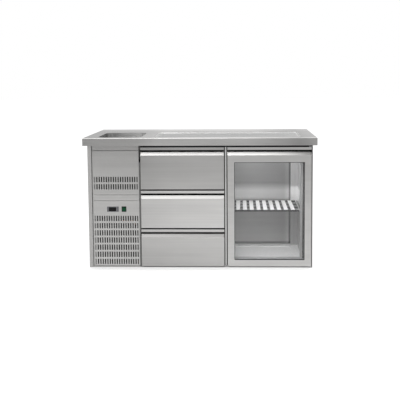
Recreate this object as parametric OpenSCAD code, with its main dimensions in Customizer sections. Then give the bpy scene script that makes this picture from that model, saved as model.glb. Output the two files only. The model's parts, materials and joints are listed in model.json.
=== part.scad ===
// Refrigerated bar counter: machine section, three drawers, a glass door, a sink and a drip tray.
// Millimetres, +Z up, the front faces -Y. The origin is the centre of the footprint on the floor.

/* [Overall] */
// Width over the worktop
counter_w = 1500; // [1450:10:1700]
// Depth over the worktop
counter_d = 700; // [690:5:800]
// Height over the worktop
counter_h = 850; // [840:5:950]

/* [Worktop] */
// Height of the folded worktop edge
edge_h = 50; // [46:1:60]
// Thickness of the worktop sheet
deck_t = 1.5; // [1:0.1:2]
// Outer radius of the worktop bend
deck_r = 4; // [3:0.5:6]
// Overhang of the worktop past each side of the body
side_overhang = 25; // [15:1:32]
// Overhang of the worktop past the drawer fronts
front_overhang = 30; // [20:1:34]
// Overhang of the worktop past the back panel
rear_overhang = 20; // [5:1:30]
// Width of the return flange under the worktop edge
return_w = 40; // [36:1:44]

/* [Sink] */
// Sink opening, left to right
sink_w = 280; // [240:1:281]
// Sink opening, front to back
sink_d = 352; // [300:1:360]
// Depth of the bowl below the worktop
sink_h = 150; // [130:1:170]
// Distance from the left edge of the worktop to the bowl
sink_left = 87; // [84:1:87]
// Distance from the front edge of the worktop to the bowl
sink_front = 46; // [46:1:54]
// Corner radius of the bowl
sink_r = 50; // [40:1:60]
// Radius between the bowl's walls and its floor
sink_floor_r = 22; // [15:1:30]
// Thickness of the bowl sheet
bowl_t = 1; // [0.8:0.1:1.5]

/* [Drip tray] */
// Gap between the sink and the drip recess
sink_tray_gap = 83; // [75:1:110]
// Drip recess, front to back
tray_d = 385; // [300:5:395]
// Distance from the right edge of the worktop to the recess
tray_right = 95; // [90:1:110]
// Distance from the front edge of the worktop to the recess
tray_front = 62; // [56:1:70]
// Depth of the grate below the worktop
grate_drop = 8.5; // [5:0.5:9]
// Pitch of the grate's holes
grate_pitch = 20; // [18:1:30]
// Diameter of the grate's holes
grate_hole_d = 9; // [6:0.5:10]

/* [Fronts] */
// Width of the left side post
post_w = 25; // [22:1:32]
// Width of the two ventilated panels
grille_w = 300; // [296:1:303]
// Width of the drawer fronts
drawer_w = 538; // [500:1:580]
// Height of the top drawer front
top_drawer_h = 272; // [250:1:290]
// Gap between two drawer fronts
drawer_gap = 9.5; // [6:0.5:11]
// Gap between the drawers and the door
mullion_gap = 22; // [18:1:26]
// Gap between the fronts and the worktop
top_gap = 14; // [14:0.5:18]
// Height of the fronts above the floor
front_z0 = 7; // [7:0.5:12]
// Thickness of a drawer front and of the door
front_t = 45; // [42:1:50]
// Thickness of the outer steel skin
skin_t = 1.2; // [1:0.1:1.4]
// Width of the door's left stile and right stile
stile_w = 44; // [42:1:60]
// Height of the door's bottom rail
door_bottom_h = 43; // [42:1:60]
// Height of the door's top rail
door_top_h = 97; // [90:1:120]

/* [Handles] */
// Height of the band above the grip
band_h = 17; // [16:0.5:20]
// Height of the grip slot
slot_h = 14; // [12:0.5:16]
// Height of the sloping lip
lip_h = 21; // [18:0.5:24]
// Depth of the sloping lip
lip_d = 13; // [10:0.5:14]
// Depth of the grip
grip_d = 32; // [28:0.5:34]
// Closed end of the grip
grip_end = 6; // [5:0.5:10]

/* [Insulated body] */
// Thickness of the wall between the machine and the cold space
partition_t = 40; // [35:1:45]
// Thickness of the right wall
wall_t = 60; // [50:1:64]
// Thickness of the back wall
back_t = 40; // [35:1:45]
// Height of the cold space's floor above the ground
floor_t = 42; // [36:1:44]
// Thickness of the ceiling
ceiling_t = 55; // [50:1:58]
// Width of the post between the drawers and the door
mullion_w = 64; // [60:1:70]
// Depth of the front frame
frame_t = 40; // [35:1:45]
// Space for the evaporator behind its cover
evap_space = 140; // [135:1:150]
// Height of the shelf
shelf_z = 362; // [300:1:420]
// Width of a shelf slat
slat_w = 26; // [20:1:30]
// Pitch of the shelf slats
slat_pitch = 45; // [38:1:50]

/* [Runners] */
// Clearance between the runners and the evaporator cover
rail_rear_gap = 12; // [10:1:30]
// Clearance between the drawer boxes and the evaporator cover
box_rear_gap = 25; // [20:1:40]
// Height of the runner rails
rail_h = 45; // [40:1:48]
// Thickness of a runner
rail_t = 13; // [12.5:0.1:14]

/* [Machine] */
// Radius of the compressor
comp_r = 80; // [70:1:85]
// Height of the compressor
comp_h = 190; // [170:1:200]
// Radius of the condenser fan
fan_r = 98; // [85:1:100]
// Radius of the evaporator fan
evap_fan_r = 70; // [60:1:72]
// Radius of the thread for a foot
foot_r = 5; // [4:0.5:6]

/* [Hidden] */
$fn = 48;

seat = 0.3;
steel = [0.78, 0.78, 0.77];
bright = [0.86, 0.86, 0.86];
black = [0.07, 0.07, 0.08];
foam_colour = [0.93, 0.89, 0.72];
copper = [0.72, 0.45, 0.30];

// Body limits
body_x0 = -counter_w / 2 + side_overhang;
body_x1 = counter_w / 2 - side_overhang;
front_y = -counter_d / 2 + front_overhang;
body_y1 = counter_d / 2 - rear_overhang;
body_h = counter_h - edge_h;
base_t = 2;
foot_in_x = 26;
foot_in_y = 75;
foot_boss_r = 9;
foot_boss_h = 20;
foot_clear = 1;
base_setback = 2;
base_edge_h = 9;
base_wall_h = 24;

// Front layout, left to right
panel_side_gap = 6;
bay_gap = 11;
side_edge = 4;
hinge_gap = 3;
panel_x0 = body_x0 + post_w + panel_side_gap;
panel_x1 = panel_x0 + grille_w;
drawer_x0 = panel_x1 + bay_gap;
drawer_x1 = drawer_x0 + drawer_w;
door_x0 = drawer_x1 + mullion_gap;
door_x1 = body_x1 - side_edge - hinge_gap;
front_z1 = body_h - top_gap;
grip_z = band_h + slot_h;
lip_z = grip_z + lip_h;

// Drawer fronts, from the top: index 0 to 2
lower_drawer_h = (front_z1 - front_z0 - top_drawer_h - 2 * drawer_gap) / 2;
drawer_h = [top_drawer_h, lower_drawer_h, lower_drawer_h];
drawer_top = [
    front_z1,
    front_z1 - top_drawer_h - drawer_gap,
    front_z0 + lower_drawer_h
];

// Gaskets and front frame
gasket_t = 9;
gasket_w = 12;
gasket_inset = 8;
gasket_lip_t = 3;
face_y = front_y + front_t + gasket_t;
frame_y1 = face_y + frame_t;
part_x0 = drawer_x0 + 3;
mull_x = (drawer_x1 + door_x0) / 2;
mull_x0 = mull_x - mullion_w / 2;
mull_x1 = mull_x + mullion_w / 2;
cross_h = 54;

// Cold space
cold_x0 = part_x0 + partition_t;
cold_x1 = body_x1 - wall_t;
cold_y1 = body_y1 - back_t;
cold_z0 = floor_t;
cold_z1 = body_h - ceiling_t;
liner_t = 1;
liner_gap = 0.4;
floor_pan_t = 7;
cover_y = cold_y1 - evap_space;
open_z0 = cold_z0 + 5;
open_z1 = cold_z1 - 1;

// Centres of the gaps between the drawers, where the cross rails run
cross_z = [drawer_top[1] + drawer_gap / 2, drawer_top[2] + drawer_gap / 2];
bay_z0 = [cross_z[0] + cross_h / 2, cross_z[1] + cross_h / 2, open_z0];
bay_z1 = [open_z1, cross_z[0] - cross_h / 2, cross_z[1] - cross_h / 2];

// Drawer boxes and runners
box_clear = 6;
box_t = 1;
box_x0 = cold_x0 + rail_t;
box_x1 = mull_x0 - rail_t;
box_y0 = front_y + front_t;
box_rim = 8;
box_d = cover_y - box_rear_gap - box_y0;
rail_y0 = face_y + 4;
rail_y1 = cover_y - rail_rear_gap;
rail_lift = 42;
rail_z = [for (i = [0:2]) bay_z0[i] + rail_lift];
rail_sheet = 1.5;
fixed_half = rail_h / 2;
mid_half = fixed_half - rail_sheet - seat;
inner_half = mid_half - rail_sheet - seat;
closure_t = 1.2;
closure_gap = 0.2;

// Machine section fronts
fold_d = 12;
sheet_t = 1.2;
fascia_h = 31.5;
panel_line = 2;
upper_z0 = 479;
rail_strip_h = 36.5;
lower_z0 = 12;
lower_z1 = upper_z0 - 2 * panel_line - rail_strip_h;
landing_y = front_y + fold_d + seat;
landing_w = 14;
post_drop = 12;
slot_cols = 19;
slot_pitch = 15.35;
vent_w = 7.4;
vent_h = 35;
vent_row_pitch = 47.4;
vent_x0 = (panel_x0 + panel_x1) / 2 - (slot_cols - 1) * slot_pitch / 2;
upper_rows = 2;
lower_rows = 7;
upper_first = 52.4;
lower_first = 27;

// Controls, measured from the left edge and the top edge of the lower panel
control_z = lower_z1 - 53.5;
ctl_x = panel_x0 + 128;
ctl_w = 76;
ctl_h = 34;
ctl_proud = 4;
ctl_body_d = 58;
ctl_lip = 3;
window_w = 48;
window_x0 = ctl_x - ctl_w / 2 + 12;
window_inset = 1.6;
window_proud = 0.4;
key_travel = 0.8;
key_h = 12;
key_gap = 0.3;
key_proud = 1;
key_d = 3.4;
left_key_w = 7;
right_key_w = 10;
left_key_x = ctl_x - ctl_w / 2 + 6;
right_key_x = ctl_x + ctl_w / 2 - 8;
key_dz = 7.6;
sw_x = panel_x0 + 200;
sw_w = 30;
sw_h = 35;
sw_proud = 3;
sw_lip = 2;
sw_body_d = 20;
sw_open_w = 22;
sw_open_h = 27.6;
rocker_w = 21.4;
rocker_tilt = 6;
rocker_y = front_y + 1;
pivot_r = 1.2;
pivot_clear = 0.05;

// Worktop cut-outs
deck_x0 = -counter_w / 2;
deck_y0 = -counter_d / 2;
sink_x0 = deck_x0 + sink_left;
sink_x1 = sink_x0 + sink_w;
sink_y0 = deck_y0 + sink_front;
sink_y1 = sink_y0 + sink_d;
sink_z0 = counter_h - sink_h;
waste_x = (sink_x0 + sink_x1) / 2;
waste_y = (sink_y0 + sink_y1) / 2;
tray_x1 = counter_w / 2 - tray_right;
tray_x0 = sink_x1 + sink_tray_gap;
tray_w = tray_x1 - tray_x0;
tray_y0 = deck_y0 + tray_front;
tray_y1 = tray_y0 + tray_d;
tray_r = 12;
flange_w = 8;
pan_t = 1.2;
pan_ledge = 10;
grate_t = 2;
grate_z1 = counter_h - grate_drop;
ledge_z = grate_z1 - grate_t - seat;
pan_z0 = body_h + 14;
drain_r = 8;
drain_wall = 1.5;
drain_y = tray_y1 - 28;
drain_z = pan_z0 + pan_t + drain_r;
drain_x = part_x0 - 52;
drain_bend = 20;
drain_drop = 183;
drain_end_z = drain_z - drain_drop;

// Sink waste
waste_r = 24;
waste_flange_r = 38;
waste_flange_t = 2;
waste_nut_r = 32;
waste_nut_h = 9;
waste_cup_h = 55;
tail_l = 45;
tail_r = 20;
tail_wall = 2;
cup_z0 = sink_z0 - waste_cup_h;
tail_z0 = cup_z0 - tail_l;
overflow_w = 36;
overflow_h = 13;
overflow_z = counter_h - 38;

// Hinge
pin_r = 3;
pin_clear = 0.05;
bush_r = 4.5;
hinge_x = door_x1 - 7;
hinge_y = front_y + 7;
hinge_plate_t = 3;
hinge_w = 20;
hinge_play = 1;
door_corner_r = 3;
pin_l = 14;

// Door glazing
open_x0 = door_x0 + stile_w;
open_x1 = door_x1 - stile_w;
glass_z0 = front_z0 + door_bottom_h;
glass_z1 = front_z1 - door_top_h;
rebate = 10;
reveal_d = 12;
seal_w = 3.5;
seal_t = 2;
pane_t = 4;
pane_gap = 12;
pane_inset = 1;

// Machine parts
tray_wall = 20;
machine_gap = 8;
machine_x0 = body_x0 + sheet_t + machine_gap;
machine_x1 = part_x0 - machine_gap;
machine_x = (machine_x0 + machine_x1) / 2;
tray_sheet = 1.5;
tray_z = base_t + tray_sheet;
cond_y0 = front_y + 34;
cond_d = 50;
cond_w = 270;
cond_z0 = tray_z + 4;
cond_h = 264;
fin_count = 45;
shroud_d = 52;
shroud_y0 = cond_y0 + cond_d;
shroud_y1 = shroud_y0 + shroud_d;
fan_z = cond_z0 + cond_h / 2;
fan_gap = 5;
motor_r = 40;
motor_l = 55;
motor_y0 = shroud_y1 + 20;
shaft_r = 4;
shaft_clear = 0.05;
fan_hub_l = 24;
fan_blades = 5;
comp_y = motor_y0 + motor_l + 60 + comp_r;
grommet_h = 11;
comp_z = tray_z + grommet_h + 3;
drier_x = machine_x1 - 14;
drier_y = comp_y + comp_r + 50;
pipe_r = 4;
pipe_hole = 10;
pipe_y = cover_y + 15;
pipe_z = 330;
gland_x = body_x0 + 90;
gland_z = 90;
gland_r = 10;
rear_vent_w = 60;
rear_vent_h = 6;
rear_vent_pitch = 16;

// Evaporator
evap_x0 = cold_x0 + 20;
evap_w = 300;
evap_x = evap_x0 + evap_w / 2;
evap_z = (bay_z0[0] + bay_z1[0]) / 2 - 40;
evap_h = 150;
evap_d = 70;
evap_y0 = cold_y1 - evap_d - 6;
evap_fan_y = cover_y + 12;
evap_motor_y = cover_y + 40;
evap_motor_l = 20;
evap_motor_r = 18;
evap_shaft_r = 3;
evap_hub_l = 18;
evap_hub_r = 14;

// Shelf and its supports
corner_post_w = 48;
corner_post_d = 33;
upright_w = 12;
upright_d = 30;
shelf_side_gap = 4;
shelf_y0 = frame_y1 - 2;
shelf_y1 = cover_y - corner_post_d - 5;
shelf_x0 = mull_x1 + shelf_side_gap;
shelf_x1 = cold_x1 - upright_w - shelf_side_gap;
slat_t = 4;
shelf_bar_h = 12;
clip_l = 16;
clip_t = 5;
clip_w = 12;
upright_t = 1.2;
rear_post_lap = 34;
rear_post_y0 = rail_y1 - rear_post_lap;
rear_post_d = 36;

module plate(x0, x1, y0, y1, z0, z1) {
    translate([x0, y0, z0])
        cube([x1 - x0, y1 - y0, z1 - z0]);
}

// A flat outline with round corners
module round_rect(x0, x1, y0, y1, r) {
    translate([x0 + r, y0])
        square([x1 - x0 - 2 * r, y1 - y0]);
    translate([x0, y0 + r])
        square([x1 - x0, y1 - y0 - 2 * r]);
    for (x = [x0 + r, x1 - r], y = [y0 + r, y1 - r])
        translate([x, y])
            circle(r = r);
}

// Extrudes a (Y, Z) outline along X
module along_x(x0, x1) {
    translate([x0, 0, 0])
        rotate([90, 0, 90])
            linear_extrude(x1 - x0)
                children();
}

// Extrudes an (X, Z) outline along Y
module along_y(y0, y1) {
    translate([0, y1, 0])
        rotate([90, 0, 0])
            linear_extrude(y1 - y0)
                children();
}

module along_z(z0, z1) {
    translate([0, 0, z0])
        linear_extrude(z1 - z0)
            children();
}

module rod_x(x0, x1, y, z, r) {
    translate([x0, y, z])
        rotate([0, 90, 0])
            cylinder(h = x1 - x0, r = r);
}

module rod_y(x, y0, y1, z, r) {
    translate([x, y0, z])
        rotate([-90, 0, 0])
            cylinder(h = y1 - y0, r = r);
}

module rod_z(x, y, z0, z1, r) {
    translate([x, y, z0])
        cylinder(h = z1 - z0, r = r);
}

// A pipe through points that follow the three axes
module pipe_run(points, r) {
    for (i = [0:len(points) - 2]) {
        a = points[i];
        b = points[i + 1];
        lo = [min(a.x, b.x), min(a.y, b.y), min(a.z, b.z)];
        if (a.x != b.x)
            rod_x(lo.x, max(a.x, b.x), a.y, a.z, r);
        else if (a.y != b.y)
            rod_y(a.x, lo.y, max(a.y, b.y), a.z, r);
        else
            rod_z(a.x, a.y, lo.z, max(a.z, b.z), r);
    }
    for (i = [1:len(points) - 2])
        translate(points[i])
            sphere(r = r);
}

// Solid block of the worktop with bends of radius r on its four top edges
module deck_block(inset, r) {
    x0 = deck_x0 + inset;
    x1 = -x0;
    y0 = deck_y0 + inset;
    y1 = -y0;
    z1 = counter_h - inset;
    z0 = body_h - 1;
    intersection() {
        along_x(x0, x1)
            bent_top(y0, y1, z0, z1, r);
        along_y(y0, y1)
            bent_top(x0, x1, z0, z1, r);
    }
}

module bent_top(a0, a1, z0, z1, r) {
    translate([a0, z0])
        square([a1 - a0, z1 - z0 - r]);
    translate([a0 + r, z0])
        square([a1 - a0 - 2 * r, z1 - z0]);
    for (a = [a0 + r, a1 - r])
        translate([a, z1 - r])
            circle(r = r);
}

module sink_outline(grow) {
    round_rect(sink_x0 - grow, sink_x1 + grow, sink_y0 - grow, sink_y1 + grow, sink_r + grow);
}

module tray_outline(grow) {
    round_rect(tray_x0 - grow, tray_x1 + grow, tray_y0 - grow, tray_y1 + grow, tray_r + grow);
}

module worktop() {
    color(steel) {
        difference() {
            deck_block(0, deck_r);
            deck_block(deck_t, deck_r - deck_t);
            plate(-counter_w, counter_w, -counter_d, counter_d, body_h - 2, body_h);
            along_z(body_h, counter_h + 1)
                sink_outline(0);
            along_z(body_h, counter_h + 1)
                tray_outline(0);
        }
        along_z(body_h, body_h + deck_t)
            difference() {
                translate([deck_x0 + 0.5, deck_y0 + 0.5])
                    square([counter_w - 1, counter_d - 1]);
                translate([deck_x0 + return_w, deck_y0 + return_w])
                    square([counter_w - 2 * return_w, counter_d - 2 * return_w]);
            }
    }
}

// Outline of a channel that is open below, centred on c
module channel_outline(c, w) {
    z1 = counter_h - deck_t;
    difference() {
        translate([c - w / 2, body_h])
            square([w, z1 - body_h]);
        translate([c - w / 2 + deck_t, body_h - 1])
            square([w - 2 * deck_t, z1 - body_h + 1 - deck_t]);
    }
}

// Three channels that carry the deck on the body
module worktop_stiffeners() {
    inner = return_w + 2;
    channel_w = 36;
    left_x = (sink_x1 + tray_x0) / 2 + 6;
    right_x = (tray_x1 + counter_w / 2 - inner) / 2 + 4;
    rear_y = (tray_y1 + counter_d / 2 - inner + channel_w) / 2 + 4;
    color(steel) {
        along_y(deck_y0 + inner, sink_y1)
            channel_outline(left_x, channel_w);
        along_y(deck_y0 + inner, tray_y1)
            channel_outline(right_x, channel_w);
        along_x(deck_x0 + inner, -deck_x0 - inner)
            channel_outline(rear_y, channel_w);
    }
}

// The bowl's solid shape, round at the floor, from its floor up to z1
module bowl_shape(grow, z1) {
    r = sink_r + grow;
    fr = sink_floor_r + grow;
    hull()
        for (x = [sink_x0 + sink_r, sink_x1 - sink_r], y = [sink_y0 + sink_r, sink_y1 - sink_r])
            translate([x, y, 0]) {
                translate([0, 0, sink_z0 - grow + fr])
                    cylinder(h = z1 - sink_z0 + grow - fr, r = r, $fn = 32);
                translate([0, 0, sink_z0 - grow + fr])
                    rotate_extrude($fn = 32)
                        translate([r - fr, 0])
                            circle(r = fr, $fn = 24);
            }
}

module sink_bowl() {
    z1 = counter_h - deck_t;
    color(bright)
        difference() {
            union() {
                bowl_shape(bowl_t, z1);
                along_z(z1 - bowl_t, z1)
                    sink_outline(flange_w);
            }
            bowl_shape(0, z1 + 1);
            rod_z(waste_x, waste_y, sink_z0 - 5, sink_z0 + 5, waste_r + seat);
            along_y(sink_y1 - 8, sink_y1 + 8)
                round_rect(waste_x - overflow_w / 2, waste_x + overflow_w / 2,
                    overflow_z - overflow_h / 2, overflow_z + overflow_h / 2, overflow_h / 2 - 0.1);
        }
}

// Strainer, nut and tail pipe of the sink's waste
module sink_waste() {
    hole_r = 4;
    hole_ring = 13;
    strainer_z0 = sink_z0 - 3;
    strainer_z1 = sink_z0 + waste_flange_t;
    nut_z1 = sink_z0 - bowl_t;
    color(bright)
        difference() {
            union() {
                rod_z(waste_x, waste_y, sink_z0, strainer_z1, waste_flange_r);
                rod_z(waste_x, waste_y, cup_z0, sink_z0 + 1, waste_r);
                rod_z(waste_x, waste_y, nut_z1 - waste_nut_h, nut_z1, waste_nut_r);
                rod_z(waste_x, waste_y, tail_z0, cup_z0 + 1, tail_r);
            }
            rod_z(waste_x, waste_y, tail_z0 - 1, strainer_z0, tail_r - tail_wall);
            rod_z(waste_x, waste_y, strainer_z0 - 1, strainer_z1 + 1, hole_r);
            for (i = [0:5])
                rotate_about(waste_x, waste_y, i * 60)
                    rod_z(waste_x + hole_ring, waste_y, strainer_z0 - 1, strainer_z1 + 1, hole_r);
        }
}

module rotate_about(x, y, angle) {
    translate([x, y, 0])
        rotate([0, 0, angle])
            translate([-x, -y, 0])
                children();
}

module drip_pan() {
    z1 = counter_h - deck_t;
    color(bright)
        difference() {
            union() {
                along_z(z1 - pan_t, z1)
                    tray_outline(flange_w);
                along_z(ledge_z - pan_t, z1)
                    tray_outline(pan_t);
                along_z(pan_z0, ledge_z)
                    tray_outline(pan_t - pan_ledge);
            }
            along_z(ledge_z, z1 + 1)
                tray_outline(0);
            along_z(pan_z0 + pan_t, ledge_z + 1)
                tray_outline(-pan_ledge);
            rod_x(tray_x0 - 5, tray_x0 + pan_ledge + 5, drain_y, drain_z, drain_r);
        }
}

module ring(r, wall) {
    difference() {
        circle(r = r);
        circle(r = r - wall);
    }
}

module drip_drain() {
    x_in = tray_x0 + pan_ledge + 2;
    color(bright) {
        translate([drain_x + drain_bend, drain_y, drain_z])
            rotate([0, 90, 0])
                linear_extrude(x_in - drain_x - drain_bend)
                    ring(drain_r, drain_wall);
        translate([drain_x + drain_bend, drain_y, drain_z - drain_bend])
            rotate([90, 0, 0])
                rotate([0, 0, 90])
                    rotate_extrude(angle = 90)
                        translate([drain_bend, 0])
                            ring(drain_r, drain_wall);
        translate([drain_x, drain_y, drain_end_z])
            linear_extrude(drain_z - drain_bend - drain_end_z)
                ring(drain_r, drain_wall);
    }
}

module drip_grate() {
    margin = 16;
    rim_h = 5;
    edge = seat;
    cols = floor((tray_w - 2 * margin - 2 * edge) / grate_pitch);
    row_pitch = grate_pitch;
    rows = floor((tray_d - 2 * margin - 2 * edge) / row_pitch);
    hx = (tray_x0 + tray_x1) / 2 - (cols - 0.5) * grate_pitch / 2;
    hy = (tray_y0 + tray_y1) / 2 - (rows - 1) * row_pitch / 2;
    rim_in = pan_ledge + 1;
    color(steel) {
        along_z(grate_z1 - grate_t, grate_z1)
            difference() {
                tray_outline(-edge);
                for (i = [0:cols - 1], j = [0:rows - 1])
                    translate([hx + (i + (j % 2) / 2) * grate_pitch, hy + j * row_pitch])
                        circle(d = grate_hole_d, $fn = 24);
            }
        along_z(grate_z1 - grate_t - rim_h, grate_z1 - grate_t + 0.5)
            difference() {
                tray_outline(-rim_in);
                translate([tray_x0 + rim_in + pan_t, tray_y0 + rim_in + pan_t])
                    square([tray_w - 2 * (rim_in + pan_t), tray_d - 2 * (rim_in + pan_t)]);
            }
    }
}

module left_side_panel() {
    color(steel)
        along_z(base_t, body_h) {
            translate([body_x0, front_y])
                square([sheet_t, body_y1 - front_y]);
            translate([body_x0, front_y])
                square([post_w, sheet_t]);
            translate([body_x0 + post_w - sheet_t, front_y])
                square([sheet_t, landing_y - front_y + sheet_t]);
            translate([body_x0 + post_w - sheet_t, landing_y])
                square([panel_side_gap + landing_w, sheet_t]);
            translate([body_x0, body_y1 - sheet_t])
                square([post_w, sheet_t]);
        }
}

module right_side_panel() {
    color(steel)
        along_z(base_t, body_h) {
            translate([body_x1 - sheet_t, front_y])
                square([sheet_t, body_y1 - front_y]);
            translate([body_x1 - side_edge, front_y])
                square([side_edge, sheet_t]);
            translate([body_x1 - side_edge, front_y])
                square([sheet_t, face_y - front_y]);
            translate([body_x1 - post_w, body_y1 - sheet_t])
                square([post_w, sheet_t]);
        }
}

module back_panel() {
    columns = 3;
    rows = 12;
    first_z = 180;
    column_pitch = rear_vent_w + 20;
    vx = machine_x - (columns - 1) * column_pitch / 2;
    color(steel)
        along_y(body_y1 - sheet_t, body_y1)
            difference() {
                translate([body_x0 + post_w, base_t])
                    square([body_x1 - body_x0 - 2 * post_w, body_h - base_t]);
                for (i = [0:columns - 1], j = [0:rows - 1])
                    translate([vx + i * column_pitch - rear_vent_w / 2, first_z + j * rear_vent_pitch])
                        square([rear_vent_w, rear_vent_h]);
                translate([gland_x, gland_z])
                    circle(r = gland_r + seat);
            }
}

// Something at each place where a foot is screwed in
module at_feet() {
    for (x = [body_x0 + foot_in_x, body_x1 - foot_in_x], y = [front_y + foot_in_y, body_y1 - foot_in_y])
        translate([x, y, 0])
            children();
}

// Floor plate with a low front edge, a left edge that is folded up and four threaded bosses
module base_pan() {
    edge_y = front_y + base_setback;
    wall_x0 = body_x0 + sheet_t;
    color(steel)
        difference() {
            union() {
                plate(body_x0, body_x1, edge_y, body_y1, 0, base_t);
                plate(body_x0, drawer_x0 - 4, edge_y, edge_y + sheet_t, 0, base_edge_h);
                plate(wall_x0, wall_x0 + sheet_t, front_y + fold_d + 18, body_y1 - base_setback, base_t - 0.5,
                    base_wall_h);
                at_feet()
                    rod_z(0, 0, base_t - 0.5, foot_boss_h, foot_boss_r);
            }
            at_feet()
                rod_z(0, 0, -1, foot_boss_h - base_t, foot_r);
            plate(body_x0 - 1, body_x0 + post_w, front_y, edge_y + sheet_t + 1, base_t, base_edge_h + 1);
        }
}

// Holes that the two refrigerant pipes take through the insulated wall
module pipe_holes(x0, x1) {
    rod_x(x0, x1, pipe_y, pipe_z, pipe_hole);
}

module foam_walls() {
    x_in0 = cold_x0 - liner_t;
    x_in1 = cold_x1 + liner_t;
    x_out1 = body_x1 - sheet_t;
    y_in = cold_y1 + liner_t;
    y_out = body_y1 - sheet_t;
    gap = liner_gap;
    color(foam_colour)
        difference() {
            union() {
                plate(part_x0 + sheet_t, x_in0, frame_y1, y_out, base_t, body_h);
                plate(x_in1, x_out1, frame_y1, y_out, base_t, body_h);
                plate(x_in0 + gap, x_in1 - gap, y_in, y_out, base_t, body_h);
                plate(x_in0 + gap, x_in1 - gap, frame_y1, y_in - gap, base_t, cold_z0 - floor_pan_t);
                plate(x_in0 + gap, x_in1 - gap, frame_y1, y_in - gap, cold_z1 + liner_t, body_h);
            }
            pipe_holes(part_x0, cold_x0);
            at_feet()
                rod_z(0, 0, 0, foot_boss_h + foot_clear, foot_boss_r + foot_clear);
        }
}

module liner_panels() {
    x0 = cold_x0;
    x1 = cold_x1;
    y0 = frame_y1;
    y1 = cold_y1;
    gap = liner_gap;
    color(bright) {
        difference() {
            plate(x0 - liner_t, x0, y0, y1, cold_z0, cold_z1);
            pipe_holes(x0 - 5, x0 + 5);
        }
        plate(x1, x1 + liner_t, y0, y1, cold_z0, cold_z1);
        plate(x0, x1, y1, y1 + liner_t, cold_z0, cold_z1);
        plate(x0 + gap, x1 - gap, y0, y1 - gap, cold_z1 + gap, cold_z1 + liner_t);
        difference() {
            union() {
                plate(x0 + gap, x1 - gap, y0, y1 - gap, cold_z0 - gap - liner_t, cold_z0 - gap);
                along_z(cold_z0 - floor_pan_t, cold_z0 - gap)
                    recess_outline(liner_t);
            }
            along_z(cold_z0 - floor_pan_t + liner_t, cold_z0 + 1)
                recess_outline(0);
        }
    }
}

// Sunk part of the floor under the door compartment
module recess_outline(grow) {
    round_rect(shelf_x0 + 8 - grow, cold_x1 - 58 + grow, frame_y1 + 20 - grow, cover_y - 70 + grow, 22 + grow);
}

module partition_skin() {
    color(steel)
        difference() {
            plate(part_x0, part_x0 + sheet_t, frame_y1, body_y1 - sheet_t, base_t, body_h);
            pipe_holes(part_x0 - 5, part_x0 + 5);
        }
}

module frame_openings(grow) {
    for (i = [0:2])
        translate([cold_x0 - grow, bay_z0[i] - grow])
            square([mull_x0 - cold_x0 + 2 * grow, bay_z1[i] - bay_z0[i] + 2 * grow]);
    translate([mull_x1 - grow, open_z0 - grow])
        square([cold_x1 - mull_x1 + 2 * grow, open_z1 - open_z0 + 2 * grow]);
}

// Folded steel frame round the three drawer openings and the door opening, open to the foam behind
module front_frame() {
    frame_x1 = body_x1 - side_edge + sheet_t;
    color(steel)
        difference() {
            along_y(face_y, frame_y1)
                difference() {
                    translate([part_x0, base_t])
                        square([frame_x1 - part_x0, body_h - base_t]);
                    frame_openings(0);
                }
            along_y(face_y + sheet_t, frame_y1 + 1)
                difference() {
                    translate([part_x0 + sheet_t, base_t + sheet_t])
                        square([frame_x1 - part_x0 - 2 * sheet_t, body_h - base_t - 2 * sheet_t]);
                    frame_openings(sheet_t);
                }
            at_feet()
                rod_z(0, 0, 0, foot_boss_h, foot_boss_r + foot_clear);
        }
}

module mullion_trim() {
    trim_w = 9;
    trim_y = front_y + 16;
    color(steel)
        along_z(front_z0, front_z1)
            difference() {
                translate([mull_x - trim_w / 2, trim_y])
                    square([trim_w, face_y - trim_y]);
                translate([mull_x - trim_w / 2 + sheet_t, trim_y + sheet_t])
                    square([trim_w - 2 * sheet_t, face_y - trim_y]);
            }
}

module machine_post() {
    web_x = drawer_x0 - 5;
    color(steel)
        along_z(base_t, sink_z0 - post_drop) {
            translate([panel_x1 - landing_w, landing_y])
                square([web_x + sheet_t - panel_x1 + landing_w, sheet_t]);
            translate([web_x, landing_y])
                square([sheet_t, face_y + sheet_t - landing_y]);
            translate([web_x, face_y])
                square([part_x0 - web_x, sheet_t]);
        }
}

// A folded front panel: a face and four edges bent back
module folded_panel(z0, z1) {
    difference() {
        plate(panel_x0, panel_x1, front_y, front_y + fold_d, z0, z1);
        plate(panel_x0 + sheet_t, panel_x1 - sheet_t, front_y + sheet_t, front_y + fold_d + 1,
            z0 + sheet_t, z1 - sheet_t);
    }
}

module vents(rows, first_z) {
    along_y(front_y - 1, front_y + sheet_t + 1)
        for (i = [0:slot_cols - 1], j = [0:rows - 1])
            translate([vent_x0 + i * slot_pitch - vent_w / 2, first_z + j * vent_row_pitch - vent_h / 2])
                square([vent_w, vent_h]);
}

module top_fascia() {
    color(steel)
        folded_panel(body_h - fascia_h, body_h);
}

module upper_grille() {
    color(steel)
        difference() {
            folded_panel(upper_z0, body_h - fascia_h - panel_line);
            vents(upper_rows, upper_z0 + upper_first);
        }
}

module panel_rail() {
    color(steel)
        folded_panel(upper_z0 - panel_line - rail_strip_h, upper_z0 - panel_line);
}

module lower_grille() {
    color(steel)
        difference() {
            folded_panel(lower_z0, lower_z1);
            vents(lower_rows, lower_z0 + lower_first);
            along_y(front_y - 1, front_y + sheet_t + 1) {
                translate([ctl_x - ctl_w / 2 + ctl_lip - seat, control_z - ctl_h / 2 + ctl_lip - seat])
                    square([ctl_w - 2 * ctl_lip + 2 * seat, ctl_h - 2 * ctl_lip + 2 * seat]);
                translate([sw_x - sw_w / 2 + sw_lip - seat, control_z - sw_h / 2 + sw_lip - seat])
                    square([sw_w - 2 * sw_lip + 2 * seat, sw_h - 2 * sw_lip + 2 * seat]);
            }
        }
}

module key_block(x, z, w, grow, y0, y1) {
    plate(x - w / 2 - grow, x + w / 2 + grow, y0, y1, z - key_h / 2 - grow, z + key_h / 2 + grow);
}

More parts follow.
